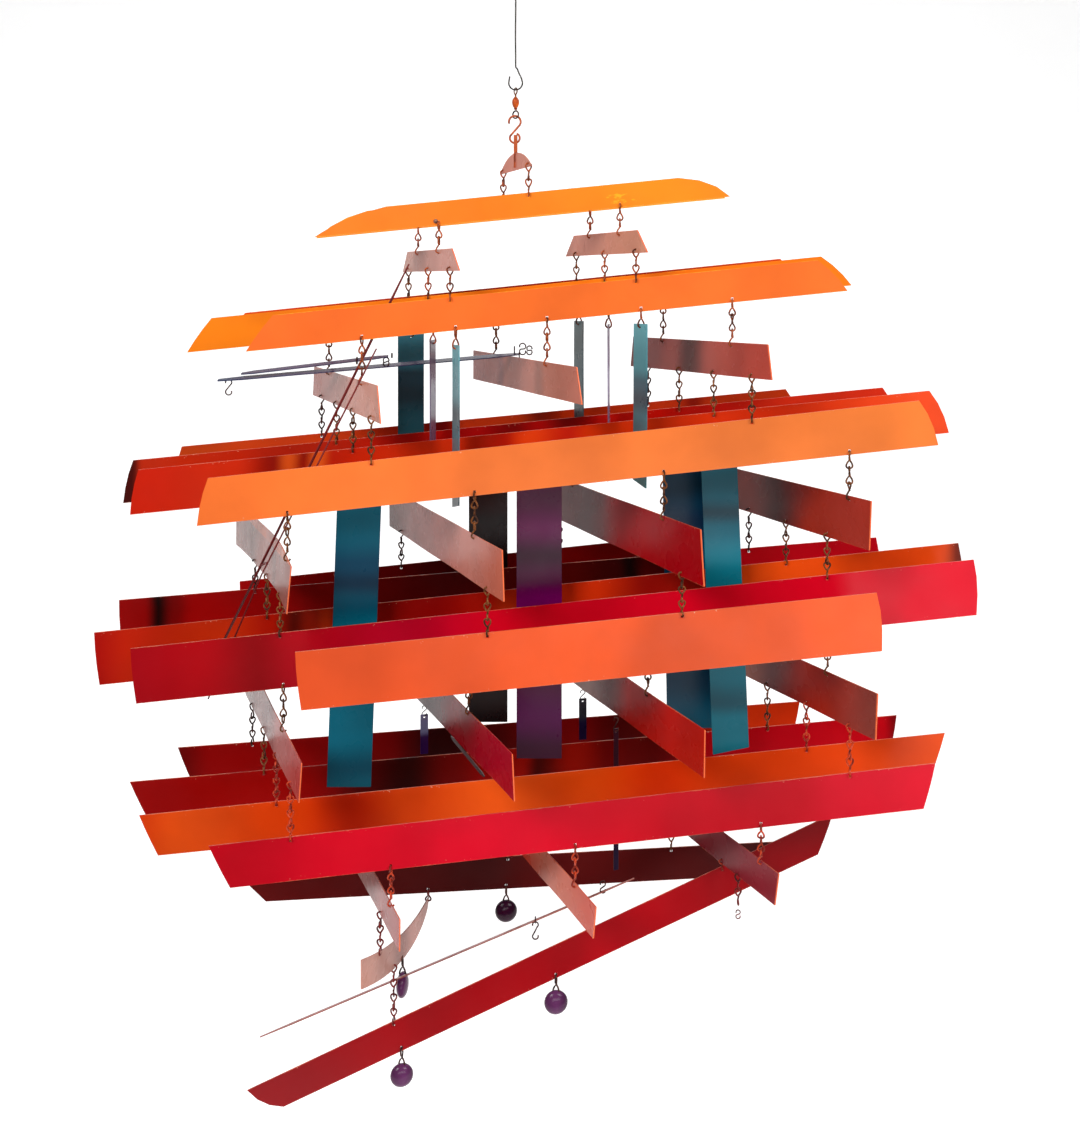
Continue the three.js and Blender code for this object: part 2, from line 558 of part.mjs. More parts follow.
add('pendant_on_curved_blade', fuse([
  lens(EDGE_ON.radius, LENS_THICKNESS).rotateZ(Math.PI / 2).translate(bladeX(edgeOnTime), EDGE_ON.y, EDGE_ON.z),
  stem(bladeX(edgeOnTime), EDGE_ON.y, EDGE_ON.z + EDGE_ON.radius - 3,
    bladeTop(edgeOnTime) - bladeHeight(edgeOnTime) - 0.6),
]), 'plum');

Object.values(plates).forEach(longPlate);
export default group;
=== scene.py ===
import math

import bmesh
import bpy
from mathutils import Matrix, Vector


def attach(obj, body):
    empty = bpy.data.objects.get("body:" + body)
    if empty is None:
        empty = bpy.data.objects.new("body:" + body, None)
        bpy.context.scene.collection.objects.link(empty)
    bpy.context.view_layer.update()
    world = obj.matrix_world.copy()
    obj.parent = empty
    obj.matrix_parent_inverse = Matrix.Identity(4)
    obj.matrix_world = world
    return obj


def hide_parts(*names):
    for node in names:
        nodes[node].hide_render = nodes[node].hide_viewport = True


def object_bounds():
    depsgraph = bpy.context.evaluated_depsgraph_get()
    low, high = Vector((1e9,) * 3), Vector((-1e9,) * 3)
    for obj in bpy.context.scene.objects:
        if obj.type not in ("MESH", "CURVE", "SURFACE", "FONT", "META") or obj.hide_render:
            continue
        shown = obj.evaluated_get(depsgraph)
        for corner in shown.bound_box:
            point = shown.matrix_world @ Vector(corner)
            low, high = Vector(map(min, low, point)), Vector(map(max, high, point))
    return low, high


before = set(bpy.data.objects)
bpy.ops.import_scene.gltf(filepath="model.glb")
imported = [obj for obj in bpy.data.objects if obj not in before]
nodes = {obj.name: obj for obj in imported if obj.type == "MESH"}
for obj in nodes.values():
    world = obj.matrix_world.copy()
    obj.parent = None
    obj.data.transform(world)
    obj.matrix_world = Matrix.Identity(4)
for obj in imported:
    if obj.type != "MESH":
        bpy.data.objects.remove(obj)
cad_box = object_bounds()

# every length below is in mm, and angles are in radians unless said otherwise
MM = 0.001
SHEET = 1.5                    # thickness of the sheets
WIRE = 2.5                     # wire of the chains
SHEAR = 0.43                   # how far a cross sheet runs to the left for each mm towards the back
ALONG = math.hypot(1, SHEAR)   # length along a cross sheet for each mm of depth
CROSS_TURN = math.pi / 2 + math.atan(SHEAR)
HOLE = 1.7                     # radius of a hole
HOLE_INSET = 5.5               # its centre to the sheet's edge
LINK = 20.0                    # pitch of the jack chain
LOOP_HALF = 4.3                # half the width of a link's loop
SLACK = 5.3                    # end of the first link to the sheet's edge
TURN = 2 * math.pi
MOBILE = "mobile"
TOP = "top"


# ---- camera --------
def make_camera():
    """Level, in front of the mobile; the shift looks down at it without tilting the camera."""
    data = bpy.data.cameras.new("camera")
    data.sensor_fit = "HORIZONTAL"
    data.sensor_width = 36
    data.lens = 40
    data.shift_y = -257.5 / 1080
    data.clip_start = 0.05
    data.clip_end = 60
    camera = bpy.data.objects.new("camera", data)
    camera.location = (0.0357, -1.757, -0.480)
    camera.rotation_euler = (math.pi / 2, 0, 0)
    bpy.context.scene.collection.objects.link(camera)
    bpy.context.scene.camera = camera


# ---- materials --------
class Nodes:
    """A short way to write a material's node tree."""

    def __init__(self, name):
        self.material = bpy.data.materials.new(name)
        self.material.use_nodes = True
        self.tree = self.material.node_tree
        self.shader = next(n for n in self.tree.nodes if n.type == "BSDF_PRINCIPLED")

    def add(self, kind, **inputs):
        node = self.tree.nodes.new(kind)
        for key, value in inputs.items():
            if key.startswith("in_"):
                self.feed(node.inputs[int(key[3:])], value)
            else:
                setattr(node, key, value)
        return node

    def feed(self, socket, value):
        if isinstance(value, bpy.types.NodeSocket):
            self.tree.links.new(value, socket)
        elif isinstance(value, tuple) and len(value) == 3 and socket.type == "RGBA":
            socket.default_value = (*value, 1)
        else:
            socket.default_value = value

    def math(self, operation, a, b=0.0, c=0.0):
        return self.add("ShaderNodeMath", operation=operation, in_0=a, in_1=b, in_2=c).outputs[0]

    def mix(self, factor, a, b):
        node = self.add("ShaderNodeMix", data_type="RGBA")
        self.feed(node.inputs[0], factor)
        self.feed(node.inputs[6], a)
        self.feed(node.inputs[7], b)
        return node.outputs[2]

    def ramp(self, value, low, high):
        """0 below `low`, 1 above `high`, smooth between them."""
        return self.add("ShaderNodeMapRange", interpolation_type="SMOOTHSTEP", in_0=value, in_1=low,
                        in_2=high).outputs[0]

    def place(self, scale=(1, 1, 1), shift=(0, 0, 0)):
        where = self.add("ShaderNodeTexCoord").outputs["Object"]
        return self.add("ShaderNodeMapping", in_0=where, in_1=shift, in_3=scale).outputs[0]

    def axes(self):
        return self.add("ShaderNodeSeparateXYZ", in_0=self.place()).outputs

    def dim(self, colour, by):
        return self.add("ShaderNodeMix", data_type="RGBA", blend_type="MULTIPLY", in_0=1.0, in_6=colour,
                        in_7=by).outputs[2]

    def noise(self, scale, detail, stretch=(1, 1, 1), shift=(0, 0, 0)):
        vector = self.place(stretch, shift)
        return self.add("ShaderNodeTexNoise", in_0=vector, in_2=scale, in_3=detail).outputs[0]

    def bump(self, height, strength, distance):
        node = self.tree.nodes.new("ShaderNodeBump")
        node.inputs["Strength"].default_value = strength
        node.inputs["Distance"].default_value = distance
        self.feed(node.inputs["Height"], height)
        self.feed(self.shader.inputs["Normal"], node.outputs[0])


# for sheets that run along x, along y or upright: number of the axis, scale and stretch of the soft bands of
# painted shade, waviness of the tones
BANDS = {
    "x": (0, 5.5, (1, 0.15, 0.35), 26),
    "y": (1, 11, (0.3, 1, 0.1), 14),
    "z": (2, 6.5, (0.3, 0.3, 1), 10),
}
COPPER_RIM = (205, 150, 110)
CHIP = (235, 190, 160)
CHIPPED_DEPTH = 8              # chips lie no further than this from a worn edge
SCUFF = (250, 190, 40)
SCUFF_HALF = (26, 11)          # half the length and height of a rubbed patch


def linear(rgb):
    def one(c):
        c /= 255
        return c / 12.92 if c <= 0.04045 else ((c + 0.055) / 1.055) ** 2.4
    return tuple(one(c) for c in rgb)


def dimmed(rgb, factor):
    return tuple(c * factor for c in rgb)


def toned(n, tones, axis, seed):
    """The colour along a sheet: `tones` are rows of place, red, green, blue, and hold the paint's colour
    together with painted shade, painted highlights and painted reflections. They mix smoothly.
    """
    number, _, _, waviness = BANDS[axis]
    place = n.axes()[number]
    wobble = n.math("SUBTRACT", n.noise(7, 2, shift=(seed, 2 * seed, seed)), 0.5)
    place = n.math("MULTIPLY_ADD", wobble, waviness * MM, place)
    tones = sorted(tones)
    low, high = tones[0][0] - 1, tones[-1][0] + 1
    spot = n.add("ShaderNodeMapRange", in_0=place, in_1=low * MM, in_2=high * MM).outputs[0]
    ramp = n.add("ShaderNodeValToRGB", in_0=spot)
    ramp.color_ramp.interpolation = "EASE"
    stops = ramp.color_ramp.elements
    stops.remove(stops[1])
    for i, (where, *rgb) in enumerate(tones):
        spot = (where - low) / (high - low)
        stop = stops.new(spot) if i else stops[0]
        stop.position = spot
        stop.color = (*linear(rgb), 1)
    return ramp.outputs[0]


def edge_depth(n, start, end, along):
    """Distance in mm inwards from the line start-end, with the sheet on the left of it."""
    (h0, z0), (h1, z1) = start, end
    long = math.hypot(h1 - h0, z1 - z0)
    nh, nz = (z1 - z0) / long, -(h1 - h0) / long
    where = n.axes()
    part = n.math("MULTIPLY_ADD", where[2], -nz / MM, nh * h0 + nz * z0)
    return n.math("MULTIPLY_ADD", where[BANDS[along][0]], -nh / MM, part)


def worn_edge(n, colour, edge, rim, patchy, chips, shift):
    """Rubs `rim` along an edge, in patches, and strews a share of `chips` beside it."""
    depth = edge_depth(n, *edge)
    worn = n.noise(160, 2, (1, 1, 0.6), shift)
    reach = n.math("MULTIPLY_ADD", worn, 1.8, -0.3)
    rub = n.ramp(n.math("SUBTRACT", reach, depth), 0.0, 0.35)
    share = n.math("MULTIPLY_ADD", patchy, 0.5, 0.1)
    colour = n.mix(n.math("MULTIPLY", rub, share), colour, linear(rim))
    if chips:
        specks = n.ramp(n.noise(360, 1, shift=shift), 0.74, 0.765)
        inside = n.ramp(n.math("SUBTRACT", float(CHIPPED_DEPTH), depth), 0.0, float(CHIPPED_DEPTH))
        near = n.math("MULTIPLY", inside, patchy)
        spot = n.math("MULTIPLY", n.math("MULTIPLY", specks, near), chips)
        colour = n.mix(spot, colour, linear(CHIP))
    return colour


def bright_end(n, colour, edge, bright, shift):
    """Bare paint on the cut edge of a sheet's end."""
    width = n.math("MULTIPLY_ADD", n.noise(90, 2, shift=shift), 0.7, 0.75)
    rub = n.ramp(n.math("SUBTRACT", width, edge_depth(n, *edge)), 0.0, 0.4)
    return n.mix(n.math("MULTIPLY", rub, 0.92), colour, linear(bright))


def scuffed(n, colour, centre, shift):
    """A rubbed patch of streaks round `centre`, without any figure in it."""
    where = n.axes()
    (half_x, half_z), (cx, cz) = SCUFF_HALF, centre
    x = n.math("MULTIPLY_ADD", where[0], 1 / (half_x * MM), -cx / half_x)
    z = n.math("MULTIPLY_ADD", where[2], 1 / (half_z * MM), -cz / half_z)
    far = n.math("ADD", n.math("MULTIPLY", x, x), n.math("MULTIPLY", z, z))
    inside = n.ramp(n.math("SUBTRACT", 1.0, far), 0.0, 0.5)
    streaks = n.ramp(n.noise(60, 4, (1, 1, 2.6), shift), 0.53, 0.6)
    return n.mix(n.math("MULTIPLY", n.math("MULTIPLY", inside, streaks), 0.6), colour, linear(SCUFF))


def painted(name, tones, rim=COPPER_RIM, gloss=0.3, shade_bands=0.0, edges=(), chips=0.0, seed=0.0, axis="x",
            tip=None, scuff=None):
    """Paint on sheet metal, with painted shade. `tones` run along `axis`, `shade_bands` is the strength of
    soft dark bands of painted shade and painted reflection over them, `edges` are worn lines, `tip` an end
    and the colour of its edge, `scuff` the place of a rubbed patch."""
    n = Nodes(name)
    shift = (seed * 3.1, seed * 1.7, seed * 2.3)
    colour = toned(n, tones, axis, seed)
    mottled = n.ramp(n.noise(9, 4, shift=shift), 0.3, 0.75)
    colour = n.mix(mottled, colour, n.dim(colour, (0.86, 0.84, 0.84)))
    # soft dark bands of painted shade and painted reflection over the tones
    if shade_bands:
        _, scale, stretch, _ = BANDS[axis]
        shade_band = n.ramp(n.noise(scale, 1, stretch, shift), 0.46, 0.66)
        colour = n.mix(n.math("MULTIPLY", shade_band, shade_bands), colour, n.dim(colour, (0.42, 0.4, 0.4)))
    patchy = n.ramp(n.noise(14, 2, shift=shift), 0.38, 0.6)
    for edge in edges:
        colour = worn_edge(n, colour, edge, rim, patchy, chips, shift)
    if tip:
        colour = bright_end(n, colour, tip[:3], tip[3], shift)
    if scuff:
        colour = scuffed(n, colour, scuff, shift)
    n.feed(n.shader.inputs["Base Color"], colour)
    rough = n.math("MULTIPLY_ADD", n.noise(24, 3, shift=shift), 0.16, gloss - 0.05)
    n.feed(n.shader.inputs["Roughness"], rough)
    n.shader.inputs["Specular IOR Level"].default_value = 0.2
    dents = n.math("MULTIPLY", n.noise(6, 1, (1, 1, 0.3), shift), 1.6)
    n.bump(n.math("MULTIPLY_ADD", n.noise(420, 2, shift=shift), 0.012, dents), 0.6, 0.004)
    return n.material


def metal(name, rgb, other, rough, metallic, seed):
    """Wire: chain links, hooks and rings, with paint or rust in patches."""
    n = Nodes(name)
    patch = n.ramp(n.noise(90, 4, shift=(seed, 0, seed)), 0.42, 0.62)
    n.feed(n.shader.inputs["Base Color"], n.mix(patch, linear(rgb), linear(other)))
    n.feed(n.shader.inputs["Roughness"], n.math("MULTIPLY_ADD", patch, 0.2, rough - 0.08))
    n.shader.inputs["Metallic"].default_value = metallic
    n.bump(n.noise(900, 3), 0.35, 0.0003)
    n.shader.inputs["Specular IOR Level"].default_value = 0.25
    return n.material


# ---- mesh helpers --------
def make(name, shape, material, hides=(), body=MOBILE, smooth=True):
    """A piece of the visual model, from a mesh or from points and faces, in place of the CAD nodes `hides`.
    `material` is its only material."""
    if isinstance(shape, tuple):
        points, faces = shape
        shape = bpy.data.meshes.new(name)
        shape.from_pydata([tuple(v * MM for v in p) for p in points], [], faces)
        shape.update()
    piece = bpy.data.objects.new(name, shape)
    bpy.context.scene.collection.objects.link(piece)
    shape.materials.clear()
    shape.materials.append(material)
    for face in shape.polygons:
        face.use_smooth = smooth
    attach(piece, body)
    if hides:
        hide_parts(*hides)


def tube(points, radius, sides, closed=False):
    """Vertices and faces of a round wire along `points`."""
    path = [Vector(p) for p in points]
    count = len(path)
    rings, faces = [], []
    normal = None
    for i, p in enumerate(path):
        before = path[(i - 1) % count] if closed or i else path[0]
        after = path[(i + 1) % count] if closed or i < count - 1 else path[-1]
        way = (after - before).normalized()
        if normal is None:
            normal = way.orthogonal().normalized()
        normal = (normal - way * normal.dot(way)).normalized()
        other = way.cross(normal)
        for k in range(sides):
            a = TURN * k / sides
            rings.append(p + (normal * math.cos(a) + other * math.sin(a)) * radius)
    spans = count if closed else count - 1
    for i in range(spans):
        j = (i + 1) % count
        for k in range(sides):
            m = (k + 1) % sides
            faces.append((i * sides + k, i * sides + m, j * sides + m, j * sides + k))
    if not closed:
        faces.append(tuple(reversed(range(sides))))
        faces.append(tuple((count - 1) * sides + k for k in range(sides)))
    return [tuple(v) for v in rings], faces


CORNERS = ((1, 1), (1, -1), (-1, -1), (-1, 1))


def four_sided(sections):
    """A bar through the sections, each of four points, closed at both ends."""
    points, faces = [], []
    for section in sections:
        points += [tuple(p) for p in section]
    last = len(points) - 4
    for i in range(0, last, 4):
        for k in range(4):
            m = (k + 1) % 4
            faces.append((i + k, i + m, i + 4 + m, i + 4 + k))
    faces.append((3, 2, 1, 0))
    faces.append((last, last + 1, last + 2, last + 3))
    return points, faces


def joined(parts):
    points, faces = [], []
    for p, f in parts:
        shift = len(points)
        points += p
        faces += [tuple(i + shift for i in face) for face in f]
    return points, faces


def moved(part, offset):
    return [tuple(Vector(p) + Vector(offset)) for p in part[0]], part[1]


def spun(part, angle):
    turn = Matrix.Rotation(angle, 3, "Z")
    return [tuple(turn @ Vector(p)) for p in part[0]], part[1]


# ---- jack chain --------
def link(pitch, upper, hooked=False):
    """One figure-of-eight link, centred on its waist. Its upper loop is edge-on to the front or face-on, and
    its lower loop the other way. A hooked link's lower loop is left open on the right."""
    steps = 14
    half = (pitch + WIRE) / 2
    last = round(0.8 * steps) if hooked else steps
    points = []
    for lower, count in ((False, steps), (True, last)):
        for i in range(count):
            u = i / steps
            out = LOOP_HALF * math.sin(TURN * u) * (-1 if lower and hooked else 1)
            z = half * math.sin(math.pi * u) * (-1 if lower else 1)
            flat = (upper == "face") != lower
            gap = 0.35 * WIRE * (1 if u < 0.5 else -1) * max(0.0, 1 - 4 * min(u, 1 - u))
            points.append((out, gap, z) if flat else (gap, out, z))
    return tube(points, WIRE / 2, 6, closed=not hooked)


def chain(x, y, high, low, upper, seed, hooked=None):
    """Links from a hole under the edge `high` to a hole over the edge `low`. The link at the `hooked` end,
    "low" or "high", is an open hook there."""
    reach = high - low + 2 * SLACK - WIRE
    count = max(1, round(reach / LINK))
    pitch = reach / count
    parts = []
    for i in range(count):
        z = high + SLACK - (pitch + WIRE) / 2 - i * pitch
        twist = 0.22 * math.sin(12.9 * (i + 1) * seed + 3.1 * seed)
        if hooked == "low" and i == count - 1:
            part = link(pitch, upper, True)
        elif hooked == "high" and i == 0:
            points, faces = link(pitch, "edge", True)
            part = [(-u, v, -w) for u, v, w in points], faces
        else:
            part = link(pitch, upper)
        parts.append(moved(spun(part, twist), (x, y, z)))
    return joined(parts)


def small_ring(x, y, z, radius, wire=WIRE):
    steps = 18
    points = [(x, y + radius * math.cos(TURN * i / steps), z + radius * math.sin(TURN * i / steps))
              for i in range(steps)]
    return tube(points, wire / 2, 6, closed=True)


# ---- sheets --------
def sheet_mesh(name, outline, holes, place, warp=None, step=9.0, corner=1.2):
    """A sheet from an outline in (u, z) with round holes, bent by warp(u, z), set by place(u, out, z)."""
    curve = bpy.data.curves.new(name, "CURVE")
    curve.dimensions = "2D"
    curve.fill_mode = "BOTH"
    burr = 0.25
    curve.extrude = SHEET / 2 - burr
    curve.bevel_depth = burr
    curve.bevel_resolution = 1
    curve.offset = -burr
    loops = [rounded(outline, corner)]
    around = [-TURN * i / 12 for i in range(12)]
    for u, z in holes:
        loops.append([(u + HOLE * math.cos(a), z + HOLE * math.sin(a)) for a in around])
    for loop in loops:
        spline = curve.splines.new("POLY")
        spline.points.add(len(loop) - 1)
        for point, (u, z) in zip(spline.points, loop):
            point.co = (u, z, 0, 1)
        spline.use_cyclic_u = True
    holder = bpy.data.objects.new(name, curve)
    bpy.context.scene.collection.objects.link(holder)
    bpy.context.view_layer.update()
    mesh = bpy.data.meshes.new_from_object(holder.evaluated_get(bpy.context.evaluated_depsgraph_get()))
    bpy.data.objects.remove(holder)
    bm = bmesh.new()
    bm.from_mesh(mesh)
    bmesh.ops.remove_doubles(bm, verts=bm.verts, dist=0.01)
    spans = [(axis, min(v.co[axis] for v in bm.verts), max(v.co[axis] for v in bm.verts)) for axis in (0, 1)]
    for axis, start, end in spans:
        cuts = int((end - start) / step)
        for i in range(1, cuts):
            point = [0, 0, 0]
            normal = [0, 0, 0]
            point[axis] = start + (end - start) * i / cuts
            normal[axis] = 1
            bmesh.ops.bisect_plane(bm, geom=bm.verts[:] + bm.edges[:] + bm.faces[:], dist=0.0001,
                                   plane_co=point, plane_no=normal)
    for v in bm.verts:
        u, z, out = v.co
        out += warp(u, z) if warp else 0
        v.co = Vector(place(u, out, z)) * MM
    bmesh.ops.recalc_face_normals(bm, faces=bm.faces)
    bm.to_mesh(mesh)
    bm.free()
    return mesh


def rounded(outline, radius):
    """The outline, anticlockwise, with each corner cut round."""
    steps = 3
    area = sum(a[0] * b[1] - b[0] * a[1] for a, b in zip(outline, outline[1:] + outline[:1]))
    loop = outline if area > 0 else outline[::-1]
    result = []
    for i, corner in enumerate(loop):
        c = Vector(corner)
        a = Vector(loop[i - 1]) - c
        b = Vector(loop[(i + 1) % len(loop)]) - c
        cut = min(radius, a.length / 3, b.length / 3)
        start, end = c + a.normalized() * cut, c + b.normalized() * cut
        for k in range(steps + 1):
            t = k / steps
            p = start * (1 - t) ** 2 + c * 2 * t * (1 - t) + end * t * t
            result.append((p.x, p.y))
    return result


def turned_place(x, y, angle):
    """Places a sheet drawn in (u, z) so that u runs along `angle` from X."""
    c, s = math.cos(angle), math.sin(angle)
    return lambda u, out, z: (x + u * c - out * s, y + u * s + out * c, z)


def wavy(seed, length):
    """How far a sheet stands out of its plane, half a millimetre or so."""
    def height(u, z):
        across = math.sin(TURN * z / (0.8 * length) + 2.3 * seed)
        return 0.5 * math.sin(TURN * u / length + seed) + 0.2 * across
    return height


# ---- the long plates: CAD nodes with paint --------
# name: depth, left end, right end, top edge at the left end, rise, width, and the colour as tones: rows of
# place along X, red, green, blue; the tones hold the paint's colour with painted shade and painted
# reflections of neighbouring parts as darker and lighter steps along X
PLATES = {
    "tier_one_back_plate": (45, -223, 225, -338.5, 0.098, 34, [(-223, 255, 150, 30), (225, 255, 158, 34)]),
    "tier_one_front_plate": (-45, -184, 233, -339.5, 0.098, 34, [(-184, 255, 128, 34), (233, 255, 142, 30)]),
    "tier_two_back_plate": (90, -418, 405, -492, 0.101, 47, [(-418, 215, 70, 14), (-200, 190, 50, 8),
        (-100, 140, 20, 4), (100, 160, 30, 6), (405, 216, 70, 14)]),
    "tier_two_middle_plate": (0, -445, 447, -499, 0.101, 47, [(-445, 250, 130, 10), (447, 252, 126, 16)]),
    "tier_two_front_plate": (-90, -335, 421, -494, 0.101, 47, [(-335, 252, 112, 40), (421, 254, 118, 44)]),
    "tier_three_back_plate": (135, -529, 423, -703, 0.095, 63, [(-529, 205, 70, 15), (-300, 205, 62, 14),
        (-170, 190, 45, 8), (-115, 120, 0, 0), (-80, 195, 55, 12), (0, 205, 62, 15), (35, 150, 38, 14),
        (70, 205, 58, 10), (250, 200, 55, 12), (275, 150, 25, 5), (300, 205, 60, 15), (423, 195, 60, 12)]),
    "tier_three_second_plate": (45, -575, 550, -713, 0.097, 63, [(-575, 70, 4, 0), (-560, 190, 40, 6),
        (-300, 195, 34, 4), (-140, 175, 10, 0), (-60, 165, 0, 0), (-7, 130, 0, 0), (30, 175, 2, 0),
        (76, 120, 0, 0), (120, 190, 10, 0), (300, 175, 10, 0), (420, 214, 48, 18), (550, 205, 45, 18)]),
    "tier_three_third_plate": (-45, -537, 591, -715, 0.1, 63, [(-537, 196, 28, 2), (-400, 205, 40, 4),
        (-345, 150, 14, 0), (-322, 222, 84, 20), (-300, 150, 20, 2), (-280, 225, 90, 24), (-255, 190, 30, 2),
        (-110, 212, 46, 2), (-12, 180, 20, 0), (20, 218, 58, 6), (73, 182, 26, 5), (110, 218, 52, 2),
        (350, 215, 48, 8), (591, 240, 76, 30)]),
    "tier_three_front_plate": (-135, -413, 548, -714, 0.109, 63, [(-413, 255, 122, 50),
        (548, 255, 132, 55)]),
    "tier_four_back_plate": (180, -449, 278, -926, 0.1045, 77.5, [(-449, 170, 4, 4), (-380, 150, 0, 0),
        (-200, 95, 0, 0), (-140, 80, 0, 0), (-40, 90, 0, 0), (-15, 140, 0, 0), (60, 150, 0, 0),
        (278, 140, 0, 0)]),
    "tier_four_second_plate": (90, -612, 553, -934, 0.0827, 77.5, [(-612, 160, 0, 0), (-575, 150, 0, 0),
        (-554, 12, 0, 0), (-530, 120, 0, 0), (-500, 155, 0, 0), (-360, 150, 0, 0), (-215, 95, 0, 0),
        (-110, 70, 0, 0), (75, 85, 0, 0), (150, 60, 0, 0), (176, 12, 0, 0), (200, 95, 0, 0),
        (370, 185, 0, 22), (553, 190, 0, 28)]),
    "tier_four_middle_plate": (0, -617, 648, -959.5, 0.1036, 77.5, [(-617, 165, 8, 0), (-560, 188, 30, 0),
        (-420, 214, 50, 10), (-360, 185, 22, 0), (-325, 84, 8, 0), (-300, 150, 26, 4), (-280, 205, 56, 10),
        (-240, 160, 12, 0), (-120, 125, 2, 0), (-40, 160, 14, 0), (-8, 215, 56, 6), (100, 215, 50, 5),
        (195, 140, 8, 0), (260, 170, 20, 2), (340, 230, 80, 12), (625, 228, 76, 12), (648, 110, 30, 10)]),
    "tier_four_fourth_plate": (-90, -533, 638, -957, 0.1054, 77.5, [(-533, 158, 0, 14), (-440, 168, 0, 12),
        (-360, 140, 0, 8), (-300, 175, 0, 20), (-150, 195, 0, 40), (0, 200, 0, 28), (300, 210, 0, 32),
        (638, 226, 0, 36)]),
    "tier_four_front_plate": (-180, -286, 478, -936, 0.102, 77.5, [(-286, 242, 88, 38), (100, 246, 88, 28),
        (478, 255, 95, 38)]),
    "tier_five_back_plate": (135, -535, 445, -1177.5, 0.074, 60, [(-535, 110, 0, 0), (-480, 150, 0, 0),
        (-300, 165, 0, 0), (-210, 140, 0, 0), (-130, 62, 0, 0), (-60, 85, 0, 0), (80, 150, 0, 0),
        (160, 100, 0, 0), (250, 130, 10, 0), (370, 225, 60, 6), (445, 222, 58, 5)]),
    "tier_five_second_plate": (45, -580, 571, -1196, 0.087, 60, [(-580, 150, 0, 0), (-300, 152, 0, 0),
        (-230, 100, 0, 0), (-160, 48, 0, 0), (-100, 110, 0, 0), (-40, 150, 0, 0), (10, 175, 14, 0),
        (35, 80, 0, 0), (90, 180, 20, 0), (140, 100, 0, 0), (200, 90, 0, 0), (290, 190, 0, 20),
        (400, 205, 0, 26), (550, 210, 0, 25), (571, 130, 0, 14)]),
    "tier_five_third_plate": (-45, -536, 613, -1208, 0.1023, 60, [(-536, 215, 60, 4), (-480, 226, 76, 10),
        (-330, 215, 62, 4), (-230, 196, 38, 0), (-150, 222, 72, 12), (-20, 238, 92, 22), (90, 230, 78, 8),
        (210, 208, 48, 0), (330, 225, 66, 8), (613, 240, 82, 26)]),
    "tier_five_front_plate": (-135, -412, 570, -1211, 0.114, 60, [(-412, 196, 0, 24), (-250, 212, 0, 30),
        (0, 222, 0, 36), (200, 214, 0, 28), (380, 205, 0, 26), (450, 222, 8, 38), (570, 226, 14, 42)]),
    "tier_six_back_plate": (90, -436, 405, -1350.5, 0.0535, 50, [(-436, 96, 0, 0), (-250, 88, 0, 0),
        (-50, 62, 0, 0), (100, 104, 0, 0), (250, 84, 0, 0), (405, 60, 0, 0)]),
    "tier_six_steep_plate": (-45, -382, 453, -1600, 0.472, 48, [(-382, 140, 0, 10), (-100, 155, 0, 10),
        (200, 175, 0, 15), (453, 150, 0, 10)]),
}
WARM_TIERS = ("one", "two")
SCUFFED = {"tier_one_front_plate": (150, -330), "tier_two_middle_plate": (300, -448)}


def top_at(name, x):
    _, left, _, z, rise, *_ = PLATES[name]
    return z + rise * (x - left)


def bottom_at(name, x):
    return top_at(name, x) - PLATES[name][5]


def paint_plates():
    for number, (name, (_, left, right, z, rise, width, tones)) in enumerate(PLATES.items()):
        far = z + rise * (right - left)
        edges = [((right, far), (left, z), "x"), ((left, z - width), (right, far - width), "x")]
        warm = name.split("_")[1] in WARM_TIERS
        rim, shade_bands, chips = ((255, 190, 60), 0.15, 0.0) if warm else ((226, 128, 92), 0.3, 0.7)
        material = painted(name + "_paint", tones, rim, 0.3, shade_bands, edges, chips, 1.37 * number,
                           scuff=SCUFFED.get(name))
        plate = nodes[name]
        for place in plate.material_slots:
            place.material = material
        bevel = plate.modifiers.new("soft_edge", "BEVEL")
        bevel.width = 0.3 * MM
        bevel.segments = 2
        bevel.limit_method = "ANGLE"
